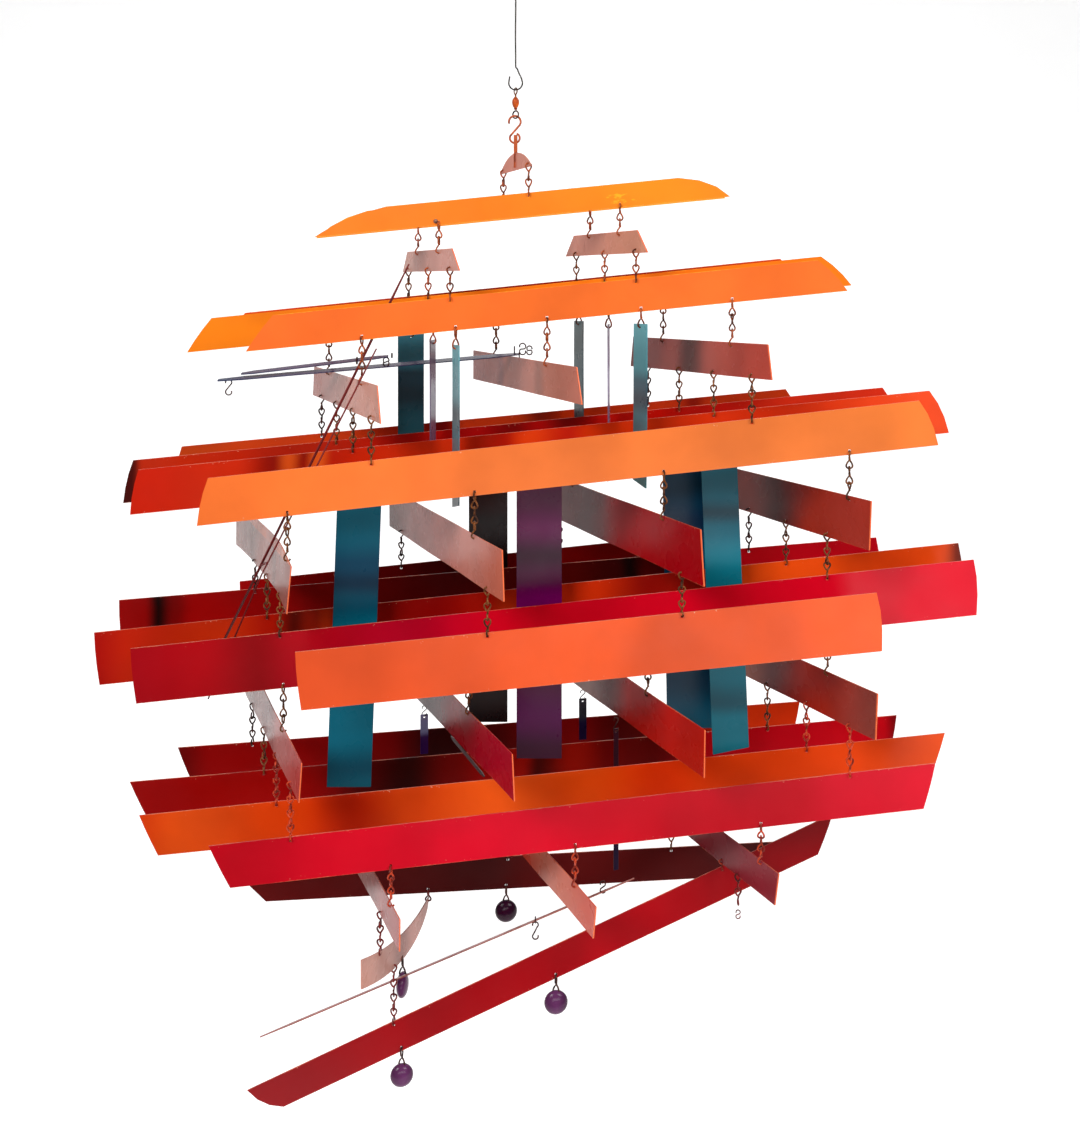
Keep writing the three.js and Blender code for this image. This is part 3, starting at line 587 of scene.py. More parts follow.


# ---- spreaders --------
# name: x at depth 0, top edge and bottom edge (depth, height from far to near), tier above and its places,
# tier below and its places, tones along Y, which hold painted shade, highlights and reflections with the
# paint's colour
ALL_FOUR = ("back", "second", "third", "front")
SPREADERS = {
    "upper_left_spreader": (-128, [(94, -398), (-98, -401.5)], [(117, -428.5), (-128, -433.5)],
        ("one", ("back", "front")), ("two", ("back", "middle", "front")), [(117, 200, 150, 135),
        (-128, 205, 140, 125)]),
    "upper_right_spreader": (130.3, [(98, -373), (-94, -376)], [(126, -404), (-122, -408.5)],
        ("one", ("back", "front")), ("two", ("back", "middle", "front")), [(126, 215, 150, 130),
        (-122, 228, 150, 118)]),
    "second_left_spreader": (-250.5, [(180, -579), (-162, -587)], [(188, -626), (-179, -636.5)],
        ("two", ("back", "front")), ("three", ALL_FOUR), [(188, 190, 125, 115), (0, 200, 140, 125),
        (-179, 205, 130, 105)]),
    "second_middle_spreader": (6.7, [(180, -553), (-180, -561.5)], [(181, -599.5), (-195, -610)],
        ("two", ("back", "front")), ("three", ()), [(181, 170, 115, 110), (90, 172, 118, 110),
        (70, 148, 98, 96), (50, 185, 120, 105), (-40, 188, 122, 106), (-62, 162, 108, 94),
        (-90, 196, 122, 102), (-195, 200, 120, 100)]),
    "second_right_spreader": (264, [(180, -531), (-170, -532)], [(188, -579), (-179, -579)],
        ("two", ("back", "front")), ("three", ALL_FOUR), [(188, 130, 70, 70), (60, 170, 85, 75),
        (20, 110, 50, 40), (-40, 182, 84, 70), (-179, 200, 80, 65)]),
    "third_left_spreader": (-364, [(250, -815.5), (150, -806), (-74, -808.5), (-112, -814), (-161, -828)],
        [(252, -881), (120, -876), (-72, -881), (-106, -888), (-136, -898)], ("three", ("back", "front")),
        ("four", ("second", "middle", "fourth")), [(252, 160, 105, 95), (140, 162, 108, 98),
        (100, 130, 85, 75), (60, 168, 112, 102), (-20, 168, 110, 100), (-50, 134, 86, 76),
        (-80, 172, 114, 104), (-161, 175, 115, 105)]),
    "third_middle_left_spreader": (-110.8, [(241, -784), (-229, -792)], [(241, -848), (-234, -857)],
        ("three", ("back", "front")), ("four", ("back", "front")), [(241, 110, 80, 75), (60, 185, 115, 105),
        (-120, 200, 125, 110), (-234, 202, 108, 84)]),
    "third_middle_right_spreader": (144.8, [(225, -758), (-225, -766.5)], [(232, -825), (-233, -838)],
        ("three", ("back", "front")), ("four", ("back", "front")), [(232, 120, 60, 60), (90, 95, 30, 30),
        (-40, 160, 0, 10), (-233, 165, 0, 10)]),
    "third_right_spreader": (395.8, [(180, -736), (-178, -738)], [(178, -797), (-174, -804)],
        ("three", ("back", "front")), ("four", ("second", "middle", "fourth")), [(180, 110, 30, 20),
        (90, 130, 40, 25), (20, 70, 10, 5), (-60, 165, 45, 25), (-178, 185, 60, 45)]),
    "fourth_left_spreader": (-359.6, [(190, -1048), (-200, -1075)], [(188, -1110.5), (-185, -1132.5)],
        ("four", ("second", "fourth")), ("five", ALL_FOUR), [(190, 170, 150, 145), (20, 170, 115, 110),
        (-200, 185, 70, 65)]),
    "fourth_middle_left_spreader": (-102, [(180, -1035), (-240, -1048)], [(172, -1097), (-246, -1105.5)],
        ("four", ("second", "fourth")), ("five", ()), [(180, 110, 70, 70), (70, 75, 30, 35),
        (-60, 150, 0, 20), (-246, 175, 0, 35)]),
    "fourth_middle_right_spreader": (147, [(190, -1010), (-229, -1021.5)], [(186, -1074), (-228, -1083)],
        ("four", ("second", "fourth")), ("five", ()), [(190, 115, 75, 70), (100, 150, 110, 100),
        (20, 100, 0, 0), (-60, 190, 20, 10), (-229, 200, 30, 20)]),
    "fourth_right_spreader": (396.5, [(186, -992), (-189, -988)], [(184, -1054), (-185, -1050.5)],
        ("four", ("second", "fourth")), ("five", ALL_FOUR), [(186, 110, 60, 50), (100, 165, 85, 60),
        (30, 110, 10, 5), (-60, 180, 40, 20), (-189, 150, 70, 60)]),
    "lower_left_spreader": (-223.8, [(112, -1276), (-176, -1289.5)], [(110, -1319), (-174, -1333.5)],
        ("five", ("second", "front")), ("six", ("back",)), [(112, 110, 70, 65), (0, 165, 120, 115),
        (-176, 185, 80, 75)]),
    "lower_middle_spreader": (25, [(112, -1255), (-196, -1263)], [(110, -1299), (-189, -1308)],
        ("five", ("second", "front")), ("six", ("back",)), [(112, 150, 30, 15), (40, 190, 50, 30),
        (-60, 205, 110, 85), (-196, 215, 80, 55)]),
    "lower_right_spreader": (276.3, [(112, -1230), (-174, -1230.5)], [(110, -1276), (-165, -1277)],
        ("five", ("second", "front")), ("six", ("back", "steep")), [(112, 120, 50, 50), (50, 90, 0, 10),
        (-30, 120, 15, 30), (-174, 140, 30, 45)]),
}
SPREADER_RIM = (224, 124, 84)
END_RIM = (255, 120, 70)


def height_at(edge, y):
    far = max(0, next(i for i, (yi, _) in enumerate(edge) if yi <= y) - 1)
    (y0, z0), (y1, z1) = edge[far], edge[far + 1]
    return z0 + (z1 - z0) * (y - y0) / (y1 - y0)


def plates_of(tier_and_places):
    tier, places = tier_and_places
    return [f"tier_{tier}_{place}_plate" for place in places]


# chains are lighter at the front and darker further back: lighter and darker copies of the jack chain,
# painted light and shade by depth
def chain_paint_and_shade(tier, y):
    if tier in ("five", "six"):
        return CHAIN["rust"] if y < 0 else CHAIN["brown" if y < 100 else "dark"]
    if tier in WARM_TIERS:
        return CHAIN["bright"] if y < 60 else CHAIN["brown"]
    return CHAIN["brown"] if y < 60 else CHAIN["dark"]


def make_spreader(number, name, x, top, bottom, above, below, tones):
    outline = [(y * ALONG, z) for y, z in [*top, *reversed(bottom)]]
    holes = []
    runs = []
    for plate in plates_of(above):
        y = PLATES[plate][0]
        here = x - SHEAR * y
        edge = height_at(top, y)
        holes.append((y * ALONG, edge - HOLE_INSET))
        run = chain(here, y, bottom_at(plate, here), edge, "edge", number + y / 100, "low")
        runs.append((chain_paint_and_shade(above[0], y), run))
    for plate in plates_of(below):
        y = PLATES[plate][0]
        here = x - SHEAR * y
        edge = height_at(bottom, y)
        holes.append((y * ALONG, edge + HOLE_INSET))
        hooked = "high" if y > 60 and name.split("_")[0] in ("second", "third") else None
        run = chain(here, y, edge, top_at(plate, here), "face", number + y / 90, hooked)
        runs.append((chain_paint_and_shade(below[0], y), run))
    if name == "lower_left_spreader":
        holes.append((-86 * ALONG, -1325))
    edges = [(top[0], top[-1], "y"), (bottom[-1], bottom[0], "y")]
    material = painted(name + "_paint", tones, SPREADER_RIM, 0.24, 0.35, edges, 0.5, 2.1 * number, "y",
                       (top[-1], bottom[-1], "y", END_RIM))
    mesh = sheet_mesh(name, outline, holes, turned_place(x, 0, CROSS_TURN), wavy(number, 240))
    make(name + "_sheet", mesh, material, (name,), smooth=False)
    for kind in dict.fromkeys(kind for kind, _ in runs):
        parts = [part for paint, part in runs if paint is kind]
        make(f"{name}_chain_{kind.name}", joined(parts), kind)


# ---- strips --------
# name: plate, x, top, bottom, width, turn in degrees, lean, cut, tones by height, whose darker and lighter
# steps are painted shade and painted reflection on the paint's colour
STRIPS = {
    "upper_teal_strip_left_back": ("tier_two_back_plate", -163, -523, -751, 40, 0, 0, 0,
        [(-523, 50, 125, 145), (-570, 40, 105, 125), (-585, 22, 56, 70), (-620, 20, 50, 62),
        (-660, 30, 85, 98), (-751, 60, 135, 145)]),
    "upper_purple_strip_left": ("tier_two_middle_plate", -121, -531, -761, 38, 83, 0, 0,
        [(-531, 100, 76, 100), (-650, 96, 84, 112), (-761, 112, 98, 130)]),
    "upper_teal_strip_left_front": ("tier_two_front_plate", -81.5, -535.5, -760, 38, -72, 0, 8,
        [(-535, 92, 160, 170), (-600, 92, 148, 156), (-630, 56, 76, 82), (-660, 76, 120, 130),
        (-760, 66, 100, 112)]),
    "upper_teal_strip_right_back": ("tier_two_back_plate", 95.5, -504.5, -733, 38, -70, 0, 0,
        [(-504, 74, 104, 110), (-620, 54, 84, 92), (-733, 76, 98, 98)]),
    "upper_purple_strip_right": ("tier_two_middle_plate", 136, -508, -736, 38, 84, 0, 0,
        [(-508, 132, 120, 150), (-736, 110, 100, 130)]),
    "upper_teal_strip_right_front": ("tier_two_front_plate", 176, -506, -729, 38, -66, -3, -8,
        [(-506, 96, 170, 180), (-565, 84, 152, 162), (-590, 62, 92, 104), (-612, 56, 66, 76),
        (-640, 74, 120, 130), (-729, 96, 168, 174)]),
    "middle_teal_strip_left": ("tier_three_third_plate", -222, -757, -1167.5, 63, 0, -15, 0,
        [(-757, 0, 106, 130), (-800, 0, 110, 136), (-850, 0, 60, 86), (-876, 0, 42, 66), (-905, 0, 80, 104),
        (-950, 0, 116, 140), (-1090, 0, 100, 122), (-1140, 0, 62, 80), (-1167, 0, 80, 98)]),
    "middle_black_strip": ("tier_three_back_plate", -46, -733, -1137.5, 61, 0, 0, 0, [(-733, 60, 8, 4),
        (-790, 46, 4, 2), (-820, 22, 0, 0), (-1137, 12, 0, 2)]),
    "middle_purple_strip": ("tier_three_third_plate", 34.5, -733, -1127, 64.5, 0, 0, 0, [(-733, 78, 0, 56),
        (-790, 98, 0, 76), (-838, 44, 0, 30), (-870, 70, 0, 52), (-905, 120, 0, 100), (-1010, 80, 0, 58),
        (-1060, 88, 0, 78), (-1115, 50, 0, 34)]),
    "middle_blue_strip": ("tier_three_second_plate", 254.5, -708, -1115, 70, 0, 7, 0, [(-708, 0, 80, 118),
        (-770, 0, 70, 104), (-806, 0, 44, 78), (-850, 0, 84, 122), (-1040, 0, 62, 92), (-1115, 0, 98, 124)]),
    "middle_teal_strip_right": ("tier_three_third_plate", 291, -706, -1116, 51.5, 0, 17, 11,
        [(-706, 0, 112, 134), (-750, 6, 100, 120), (-777, 14, 56, 70), (-800, 0, 90, 108),
        (-850, 0, 128, 148), (-1010, 0, 116, 136), (-1047, 10, 80, 96), (-1070, 0, 108, 126),
        (-1116, 0, 122, 140)]),
}


def make_strip(number, name, plate, x, top, bottom, width, turn, lean, cut, tones):
    y = PLATES[plate][0]
    half = width / 2
    outline = [(-half + lean, bottom - cut / 2), (half + lean, bottom + cut / 2), (half, top), (-half, top)]
    material = painted(name + "_paint", tones, gloss=0.26, shade_bands=0.3, seed=3.7 * number, axis="z")
    mesh = sheet_mesh(name, outline, [(0, top - HOLE_INSET)], turned_place(x, y, math.radians(turn)),
                      wavy(number, 300), 14, 1.0)
    make(name + "_sheet", mesh, material, (name,), smooth=False)
    run = chain(x, y, bottom_at(plate, x), top, "edge", number + 0.3)
    make(name + "_ring", run, chain_paint_and_shade("two", y))


# ---- the curved blade at the lower left --------
NEAR, FAR = -135, 92
# tones along the blade: the paint's colour, with a darker band near y = -20 that is painted shade and
# reflection
CURVED_TONES = [(NEAR, 206, 150, 134), (-60, 196, 142, 128), (-20, 150, 100, 90), (30, 188, 132, 118),
                (FAR, 170, 118, 106)]


def blade_time(y):
    return (y - NEAR) / (FAR - NEAR)


def blade_point(t):
    x = (1 - t) ** 2 * -206 + 2 * t * (1 - t) * -160 + t * t * -136
    return x, NEAR + (FAR - NEAR) * t, -1365 - 78.8 * t + 52.4 * t * t


def blade_height(t):
    return 3 + 37 * math.sqrt(max(0.0, 1 - t ** 3))


def make_curved_blade():
    steps = 28
    sections = []
    for i in range(steps + 1):
        t = i / steps
        x, y, top = blade_point(t)
        ahead, behind = blade_point(t + 0.01), blade_point(t - 0.01)
        along = Vector((ahead[0] - behind[0], ahead[1] - behind[1])).normalized() * (SHEET / 2)
        bottom = top - blade_height(t)
        sections.append([(x + side * along.y, y - side * along.x, z)
                         for side, z in ((-1, bottom), (-1, top), (1, top), (1, bottom))])
    name = "curved_blade"
    material = painted(name + "_paint", CURVED_TONES, gloss=0.24, shade_bands=0.4, seed=4.4, axis="y")
    make(name + "_sheet", four_sided(sections), material, (name,), smooth=False)
    hung_at, steep_at = -86, -45
    x = -223.8 - SHEAR * hung_at
    parts = [chain(x, hung_at, -1325 - HOLE_INSET, blade_point(blade_time(hung_at))[2], "face", 2.2)]
    x, _, top = blade_point(blade_time(90))
    parts.append(chain(x, 90, bottom_at("tier_six_back_plate", x), top, "edge", 5.1))
    t = blade_time(steep_at)
    x, _, top = blade_point(t)
    parts.append(chain(x, steep_at, top - blade_height(t), top_at("tier_six_steep_plate", x), "face", 3.3))
    make(name + "_chain", joined(parts), CHAIN["red"])


# ---- suspension --------
def arc(centre, radius, start, end, steps, x=0.0):
    """Points on part of a circle in the XZ plane, from `start` to `end` in half turns."""
    angles = [math.pi * (start + (end - start) * i / steps) for i in range(steps + 1)]
    return [(x + radius * math.cos(a), 0, centre + radius * math.sin(a)) for a in angles]


def round_ring(z, radius, wire, turn):
    """An upright ring round the Z axis, edge-on to the front before its turn."""
    points = [(0, y, w) for y, _, w in arc(z, radius, 0, 2, 24)[:-1]]
    return spun(tube(points, wire, 8, True), turn)


def lathe(profile, steps):
    points, faces = [], []
    for r, z in profile:
        angles = [TURN * k / steps for k in range(steps)]
        points += [(r * math.cos(a), r * math.sin(a), z) for a in angles]
    for i in range(0, (len(profile) - 1) * steps, steps):
        for k in range(steps):
            m = (k + 1) % steps
            faces.append((i + k, i + m, i + steps + m, i + steps + k))
    faces.append(tuple(reversed(range(steps))))
    faces.append(tuple(range(len(points) - steps, len(points))))
    return points, faces


def make_suspension():
    steel = metal("dark_steel_wire", (66, 60, 56), (34, 30, 28), 0.4, 0.85, 1)
    eye = arc(-9.1, 8, -0.5, 1.42, 30)[:0:-1]
    path = [(x, 1.1 * (1 - i / len(eye)), z) for i, (x, _, z) in enumerate(eye)]
    wire_top, wire_bottom = -18, -131
    path += [(0.2 * math.sin(k), 0, wire_top + (wire_bottom - wire_top) * k / 8) for k in range(9)]
    path += [(2.2, 0, -134), (4.6, 0, -140), (8, 0, -147), *arc(-155, 10, 0.12, -1.03, 14), (-8.6, 0, -145.4)]
    make("hook_wire", tube(smooth_path(path), 1.1, 10), steel, ("top_hook",), TOP)
    stem = lathe([(0.1, -182), (2.8, -182), (2.8, -180.2), (1.2, -180), (1.2, -171.4), (0.1, -170.6)], 20)
    eye = joined([round_ring(-166.9, 4.6, 1, 0.5), stem])
    make("swivel_eye", eye, CHAIN["brown"], ("swivel_upper_eye",), TOP)
    barrel_paint = metal("swivel_barrel_paint", (240, 110, 20), (178, 70, 20), 0.34, 0.1, 2)
    outside = [(0.1, -194.5), (1.6, -194.5), (2.0, -193.6), (2.0, -191.6), (3.4, -190), (4.4, -188),
               (5.1, -185), (5.2, -182.5), (4.9, -180), (3.6, -178), (2.7, -177.4), (2.7, -176)]
    inside = [(1.9, -176), (1.9, -178.6), (3.3, -178.7), (3.3, -183.4), (0.1, -183.4)]
    make("swivel_shell", lathe(outside + inside, 28), barrel_paint, ("swivel_barrel",))
    parts = [round_ring(-201.3, 5.4, 1.1, 0.9)]
    for radius, z in ((3.0, -177.5), (2.2, -192.6)):
        collar = [(x, y, z) for x, _, y in arc(0, radius, 0, 2, 24)[:-1]]
        parts.append(tube(collar, 0.45, 6, True))
    make("swivel_ring", joined(parts), CHAIN["dark"])
    copper = metal("hook_copper", (190, 90, 50), (120, 50, 30), 0.38, 0.2, 3)
    upper = arc(-211.8, 8.6, 1.1, -0.25, 12, -1.2)
    lower = [(x, 0.6 * i / 16, z) for i, (x, _, z) in enumerate(arc(-235.6, 7.2, 0.72, 2.37, 16, -1.2))]
    make("s_hook_wire", tube(smooth_path(upper + lower), 1.55, 10), copper, ("s_hook",))
    return copper


def smooth_path(points, per=4):
    """A Catmull-Rom run through the points."""
    path = [Vector(p) for p in points]
    result = []
    for i in range(len(path) - 1):
        p0, p1, p2, p3 = path[max(0, i - 1)], path[i], path[i + 1], path[min(len(path) - 1, i + 2)]
        for k in range(per):
            t = k / per
            result.append(0.5 * (2 * p1 + (p2 - p0) * t + (2 * p0 - 5 * p1 + 4 * p2 - p3) * t * t
                                 + (3 * p1 - p0 - 3 * p2 + p3) * t ** 3))
    result.append(path[-1])
    return [tuple(p) for p in result]


def make_hanger(copper):
    """A segment of a disc with a folded strap through its crown and two runs of chain."""
    name = "hanger_with_strap"
    crown, chord, half = -257.5, -283, 56 * ALONG
    rise = crown - chord
    radius = (half ** 2 + rise ** 2) / (2 * rise)
    spread = math.asin(half / radius)
    angles = [spread * (1 - 2 * i / 24) for i in range(1, 24)]
    outline = [(-half, chord), (half, chord)]
    outline += [(radius * math.sin(a), crown - radius + radius * math.cos(a)) for a in angles]
    holes = [(y * ALONG, chord + HOLE_INSET) for y in (45, -45)]
    tones = [(-56, 214, 132, 108), (0, 204, 128, 108), (56, 196, 120, 100)]
    paint = painted("hanger_paint", tones, gloss=0.24, shade_bands=0.4, seed=6.2, axis="y")
    mesh = sheet_mesh("hanger", outline, holes, turned_place(0, 0, CROSS_TURN), corner=0.8)
    make("hanger_sheet", mesh, paint, (name,), smooth=False)
    leg = [(0.9, -279), (1.3, -262), (3.0, -250), (3.0, -238), (2.0, -233), (0, -231.6)]
    parts = [ribbon(smooth_path([(0, side * y, z) for y, z in leg]), 5.4, 1.3) for side in (1, -1)]
    make("hanger_strap", joined(parts), copper, smooth=False)
    runs = []
    for plate in plates_of(("one", ("back", "front"))):
        y = PLATES[plate][0]
        runs.append(chain(-SHEAR * y, y, chord, top_at(plate, -SHEAR * y), "face", y / 30))
    make("hanger_chain", joined(runs), CHAIN["bright"])


def ribbon(path, width, thickness):
    """A flat band along a path in the YZ plane, `width` along X."""
    sections = []
    for i, p in enumerate(path):
        before, after = Vector(path[max(0, i - 1)]), Vector(path[min(len(path) - 1, i + 1)])
        way = (after - before).normalized()
        out = Vector((0, -way.z, way.y)) * (thickness / 2)
        side = Vector((width / 2, 0, 0))
        sections.append([Vector(p) + side * a + out * b for a, b in CORNERS])
    return four_sided(sections)


# ---- loose blades --------
def blade_strip(start, end, width, roll, tip):
    """A narrow band from start to end, rolled about its length, whose ends narrow by `tip`."""
    a, b = Vector(start), Vector(end)
    way = (b - a).normalized()
    wide = Vector((1, 0, 0)).rotation_difference(way) @ (Matrix.Rotation(roll, 3, "X") @ Vector((0, 1, 0)))
    thin = way.cross(wide).normalized() * (SHEET / 2)
    steps = 24
    sections = []
    for i in range(steps + 1):
        t = i / steps
        half = width / 2 * (1 - tip * max(0.0, 1 - 12 * min(t, 1 - t)))
        sections.append([a.lerp(b, t) + wide * half * u + thin * v for u, v in CORNERS])
    return four_sided(sections)


def even_tones(*colours):
    """The colours at even steps along most of the mobile's length."""
    return [(-450 + 900 * i / (len(colours) - 1), *rgb) for i, rgb in enumerate(colours)]


def make_blades():
    # the lighter steps in the blue and dark red blades' tones are painted highlights on their dark paint
    tones = even_tones((36, 52, 92), (74, 72, 110), (36, 50, 90), (120, 100, 130), (40, 60, 100),
                       (44, 66, 106))
    blue = painted("blue_blade_paint", tones, gloss=0.22, shade_bands=0.4, seed=1.1)
    parts = [blade_strip((-444, 30, -592), (4, 30, -553), 14, 0.3, 0.5),
             blade_strip((-408, 26, -582), (-190, 26, -556), 14, 0.26, 0.5)]
    make("blue_blades", joined(parts), blue, ("loose_blue_blades",), smooth=False)
    tones = even_tones((88, 16, 18), (128, 48, 48), (76, 8, 10), (92, 20, 20), (96, 20, 20))
    dark = painted("dark_red_blade_paint", tones, gloss=0.24, shade_bands=0.5, seed=2.9)
    bend = (-349, -100, -853)
    parts = [blade_strip((-148, -75, -422.5), (-428, -81, -994), 4, 0.5, 0.7),
             blade_strip((-183, -153, -538.5), bend, 3.4, 0.4, 0.3),
             blade_strip(bend, (-431, -69, -1034), 3.4, 0.4, 0.3),
             tube([(-355, -79.4, -845), (-345, -90, -838), (-341, -102.5, -838)], 1.6, 7)]
    make("dark_red_blades", joined(parts), dark, ("loose_dark_red_blades",),
         smooth=False)
    tones = even_tones((176, 104, 92), (150, 80, 72), (186, 116, 104), (160, 84, 76))
    thin = painted("thin_blade_paint", tones, gloss=0.28, shade_bands=0.4, seed=7.7)
    part = blade_strip((-362, -51, -1520.5), (173, -9, -1315), 8, -0.25, 0.8)
    make("lower_blade", part, thin, ("thin_lower_blade",), smooth=False)


# ---- pendants --------
def make_pendant(name, x, y, z, radius, hang, edge_on=False, seed=0.0):
    """A disc with crowned faces that hangs below `hang` on a link or a ring."""
    angles = [math.pi * (i / 12 - 0.5) for i in range(13)]
    points, faces = lathe([(max(0.05, radius * math.cos(a) ** 0.9), 8.5 * math.sin(a)) for a in angles], 40)
    swing = math.pi / 2 - 0.1 if edge_on else 0.25 * math.sin(seed * 9)
    turn = Matrix.Rotation(swing, 3, "Z") @ Matrix.Rotation(math.pi / 2, 3, "X")
    points = [tuple(turn @ Vector(p) + Vector((x, y, z))) for p in points]
    # the pendant at the back is a darker copy of the same purple, and each disc darkens towards its left and
    # right rims: painted shade
    base = (50, 10, 40) if y > 60 else (96, 46, 90)
    tones = [(x - radius, *dimmed(base, 0.8)), (x, *base), (x + radius, *dimmed(base, 0.7))]
    paint = painted(name + "_paint", tones, gloss=0.14, shade_bands=0.2, seed=seed)
    make(name + "_disc", (points, faces), paint, (name,))
    top = z + radius
    part = chain(x, y, hang, top, "edge", seed) if hang - top > 6 else small_ring(x, y, top + 3, 4.5)
    make(name + "_link", part, CHAIN["dark"])


def make_pendants():
    for name, plate, x, z, radius in (
        ("pendant_on_back_plate", "tier_six_back_plate", -16.5, -1412.5, 17),
        ("pendant_on_steep_plate_right", "tier_six_steep_plate", 58.5, -1474.5, 17),
        ("pendant_on_steep_plate_left", "tier_six_steep_plate", -161.5, -1578.5, 16.5),
    ):
        make_pendant(name, x, PLATES[plate][0], z, radius, bottom_at(plate, x), seed=x / 40)
    t = blade_time(-16)
    x, y, top = blade_point(t)
    make_pendant("pendant_on_curved_blade", x, y, -1466, 17.5, top - blade_height(t), True, 5.5)


# ---- small strips, free hooks and the free end of chain --------
def hook(x, y, z, height, radius=3.4, wire=1.5, way=1):
    """An S of wire that hangs from z and ends in an open hook."""
    upper = arc(-radius, radius, 1.1, -0.3, 8)
    lower = arc(radius - height, radius, 0.72, 2.12, 8)
    path = [(way * u, v, w) for u, v, w in smooth_path(upper + lower, 2)]
    return moved(tube(path, wire / 2, 7), (x, y, z))


def upright_strip(name, x, y, top, bottom, width, turn, upper, lower):
    """A small strip, `upper` and `lower` in colour."""
    outline = [(-width / 2, bottom), (width / 2, bottom), (width / 2, top), (-width / 2, top)]
    middle = (top + bottom) / 2
    tones = [(bottom, *lower), (middle - 6, *lower), (middle + 6, *upper), (top, *upper)]
    material = painted(name + "_paint", tones, gloss=0.26, shade_bands=0.3, seed=width, axis="z")
    mesh = sheet_mesh(name, outline, [(0, top - 4)], turned_place(x, y, turn), corner=0.8, step=20)
    make(name, mesh, material, smooth=False)


def make_small_pieces():
    upright_strip("small_blue_strip_left", -143, 96, -1112, -1173, 12, 0.3, (120, 130, 170), (50, 10, 80))
    upright_strip("small_blue_strip_right", 102, 104, -1090, -1154, 12, 0.2, (45, 55, 65), (20, 15, 60))
    upright_strip("small_dark_strip", 147, 0, -1100, -1307, 8, 0.5, (44, 6, 26), (26, 8, 50))
    hooks = [hook(-143, 96, -1099, 16), hook(102, 104, -1077, 16), hook(147, 0, -1084, 20),
             hook(-428, 30, -590.6, 23.4, 4.6, 2), hook(-192.9, 26, -558, 13, 4.2, 2, -1),
             hook(9.8, 30, -537, 17, 4.6, 2), hook(20, 30, -541, 13, 3.8, 2, -1),
             small_ring(-2.4, 30, -546.7, 4.9, 2), small_ring(4.9, 30, -554.7, 3.8, 2),
             small_ring(-184.3, 26, -555, 3.4, 2), small_ring(-236, 24, -562.5, 5, 2)]
    make("small_hooks", joined(hooks), CHAIN["dark"])
    under = blade_strip((-93, -21, -1104), (-39, -147, -1113), 4, 1.2, 0.6)
    paint = painted("under_blade_paint", even_tones((58, 14, 16), (34, 6, 10)), shade_bands=0.4, seed=3.3)
    make("small_under_blade", under, paint, smooth=False)
    free = [moved(link(LINK, "face"), (312, -83, -1285 - LINK * i)) for i in range(2)]
    free.append(hook(312, -83, -1324, 12, 3))
    make("free_chain_end", joined(free), CHAIN["red"])
    low = [small_ring(29, -20, -1370, 4, 2), hook(29, -20, -1373, 25, 4.2, 2),
           hook(127, -12, -1318, 17, 3.8, 2)]
    make("blade_hook", joined(low), CHAIN["dark"])
    points, faces = lathe([(0.1, 0), (3.2, 0.2), (3.0, 1.4), (1.6, 2.2), (0.1, 2.4)], 20)
    turn = Matrix.Rotation(math.pi / 2, 3, "X")
    points = [tuple(turn @ Vector(p) + Vector((-113, -45.9, -360.5))) for p in points]
    paint = metal("rivet_paint", (172, 128, 108), (120, 84, 70), 0.4, 0.4, 6)
    make("plate_rivet", (points, faces), paint)


# ---- stage and light --------
def make_stage():
    """A pale floor in metres that curves up into a wall behind the mobile."""
    low = cad_box[0][2] - 0.12
    curve = 1.5
    back = 3.2
    angles = [math.pi / 2 * i / 12 for i in range(1, 13)]
    profile = [(-0.35, low), (back, low)]
    profile += [(back + curve * math.sin(a), low + curve - curve * math.cos(a)) for a in angles]
    profile.append((back + curve, low + 8))
    bm = bmesh.new()
    rows = [[bm.verts.new((x, y, z)) for y, z in profile] for x in (-9, 9)]
    for i in range(len(profile) - 1):
        bm.faces.new((rows[0][i], rows[1][i], rows[1][i + 1], rows[0][i + 1]))
    mesh = bpy.data.meshes.new("floor")
    bm.to_mesh(mesh)
    bm.free()
    mesh.shade_smooth()
    floor = bpy.data.objects.new("floor", mesh)
    bpy.context.scene.collection.objects.link(floor)
    n = Nodes("floor_paint")
    n.shader.inputs["Base Color"].default_value = (0.95, 0.95, 0.95, 1)
    n.shader.inputs["Roughness"].default_value = 0.9
    n.shader.inputs["Specular IOR Level"].default_value = 0.1
    n.shader.inputs["Emission Color"].default_value = (1, 1, 1, 1)
    n.shader.inputs["Emission Strength"].default_value = 0.42
    mesh.materials.append(n.material)


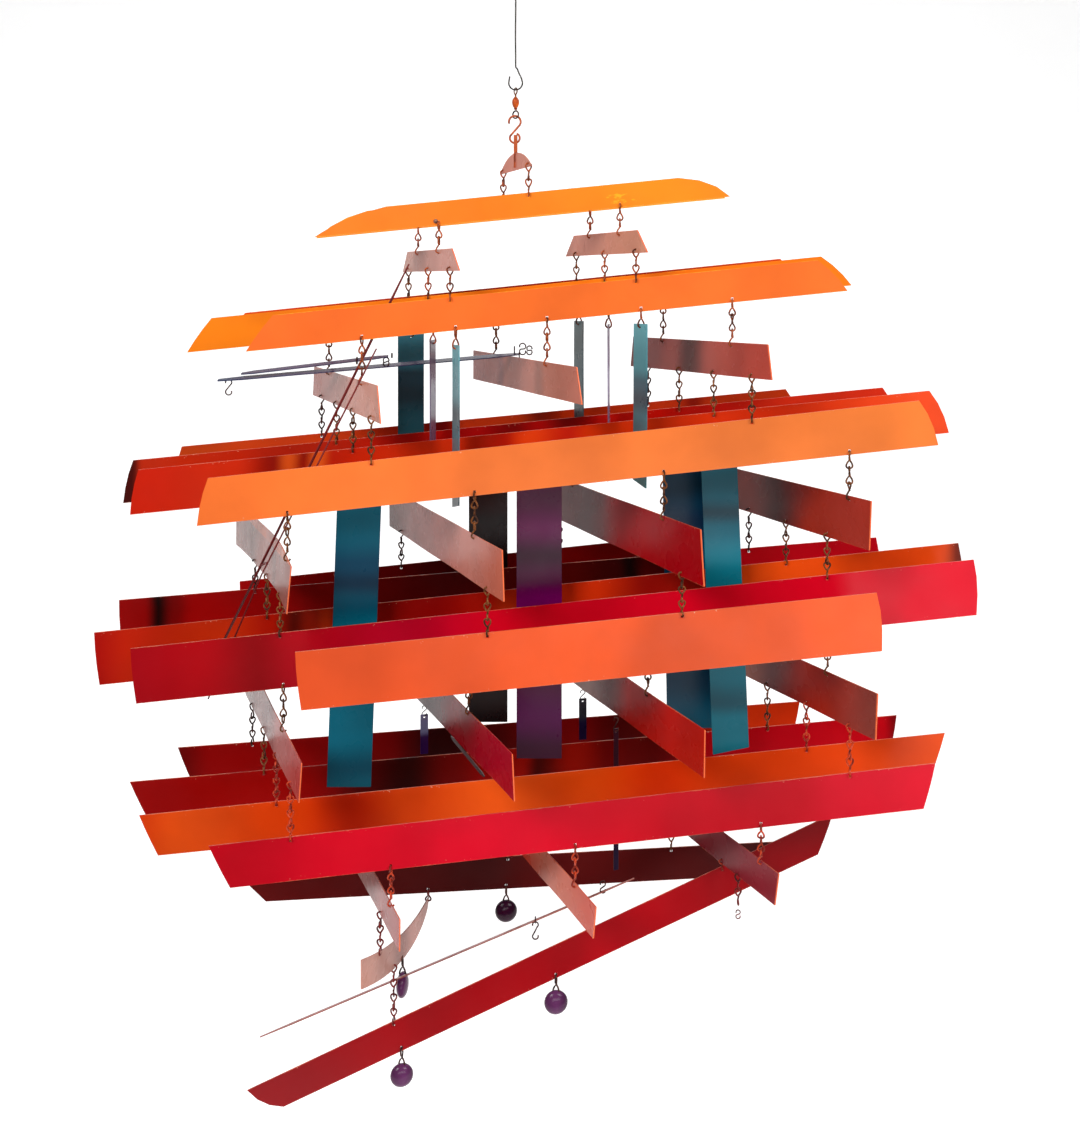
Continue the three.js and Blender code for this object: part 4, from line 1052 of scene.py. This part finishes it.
def area_light(name, place, aim, size, power):
    data = bpy.data.lights.new(name, "AREA")
    data.shape = "RECTANGLE"
    data.size, data.size_y = size
    data.energy = power
    light = bpy.data.objects.new(name, data)
    light.location = place
    light.rotation_euler = (Vector(aim) - Vector(place)).to_track_quat("-Z", "Y").to_euler()
    bpy.context.scene.collection.objects.link(light)


def make_lights():
    world = bpy.data.worlds.new("studio")
    world.use_nodes = True
    background = next(n for n in world.node_tree.nodes if n.type == "BACKGROUND")
    rays = world.node_tree.nodes.new("ShaderNodeLightPath")
    seen = world.node_tree.nodes.new("ShaderNodeMapRange")
    world.node_tree.links.new(rays.outputs["Is Camera Ray"], seen.inputs[0])
    seen.inputs[3].default_value = 0.16
    seen.inputs[4].default_value = 1.0
    world.node_tree.links.new(seen.outputs[0], background.inputs[1])
    background.inputs[0].default_value = (1, 1, 1, 1)
    bpy.context.scene.world = world
    bpy.context.scene.view_settings.view_transform = "Standard"
    centre = (0, 0, -0.9)
    area_light("key", (-1.9, -2.9, 1.3), centre, (2.0, 1.6), 118)
    area_light("fill", (2.6, -2.6, 1.0), centre, (1.6, 1.6), 78)
    area_light("low", (0.6, -2.6, -1.5), (0, 0, -1.3), (2.0, 0.6), 16)
    area_light("back", (0.5, 2.2, 1.8), (0, 1.2, -1.2), (4, 2), 36)


make_camera()
# copies of one jack chain in lighter and darker colours; the chains between sheets take them by depth, as
# painted light and shade
CHAIN = {
    "bright": metal("jack_chain_bright", (176, 84, 40), (92, 44, 26), 0.42, 0.3, 1.5),
    "brown": metal("jack_chain_brown", (132, 76, 34), (66, 36, 20), 0.45, 0.3, 2.5),
    "dark": metal("jack_chain_dark", (74, 38, 30), (34, 18, 16), 0.5, 0.3, 3.5),
    "rust": metal("jack_chain_rust", (206, 70, 34), (128, 34, 20), 0.45, 0.2, 4.5),
    "red": metal("jack_chain_red", (120, 26, 22), (66, 12, 12), 0.45, 0.2, 5.5),
}
paint_plates()
for count, (title, facts) in enumerate(SPREADERS.items()):
    make_spreader(count, title, *facts)
for count, (title, facts) in enumerate(STRIPS.items()):
    make_strip(count, title, *facts)
make_curved_blade()
make_hanger(make_suspension())
make_blades()
make_pendants()
make_small_pieces()
make_stage()
make_lights()
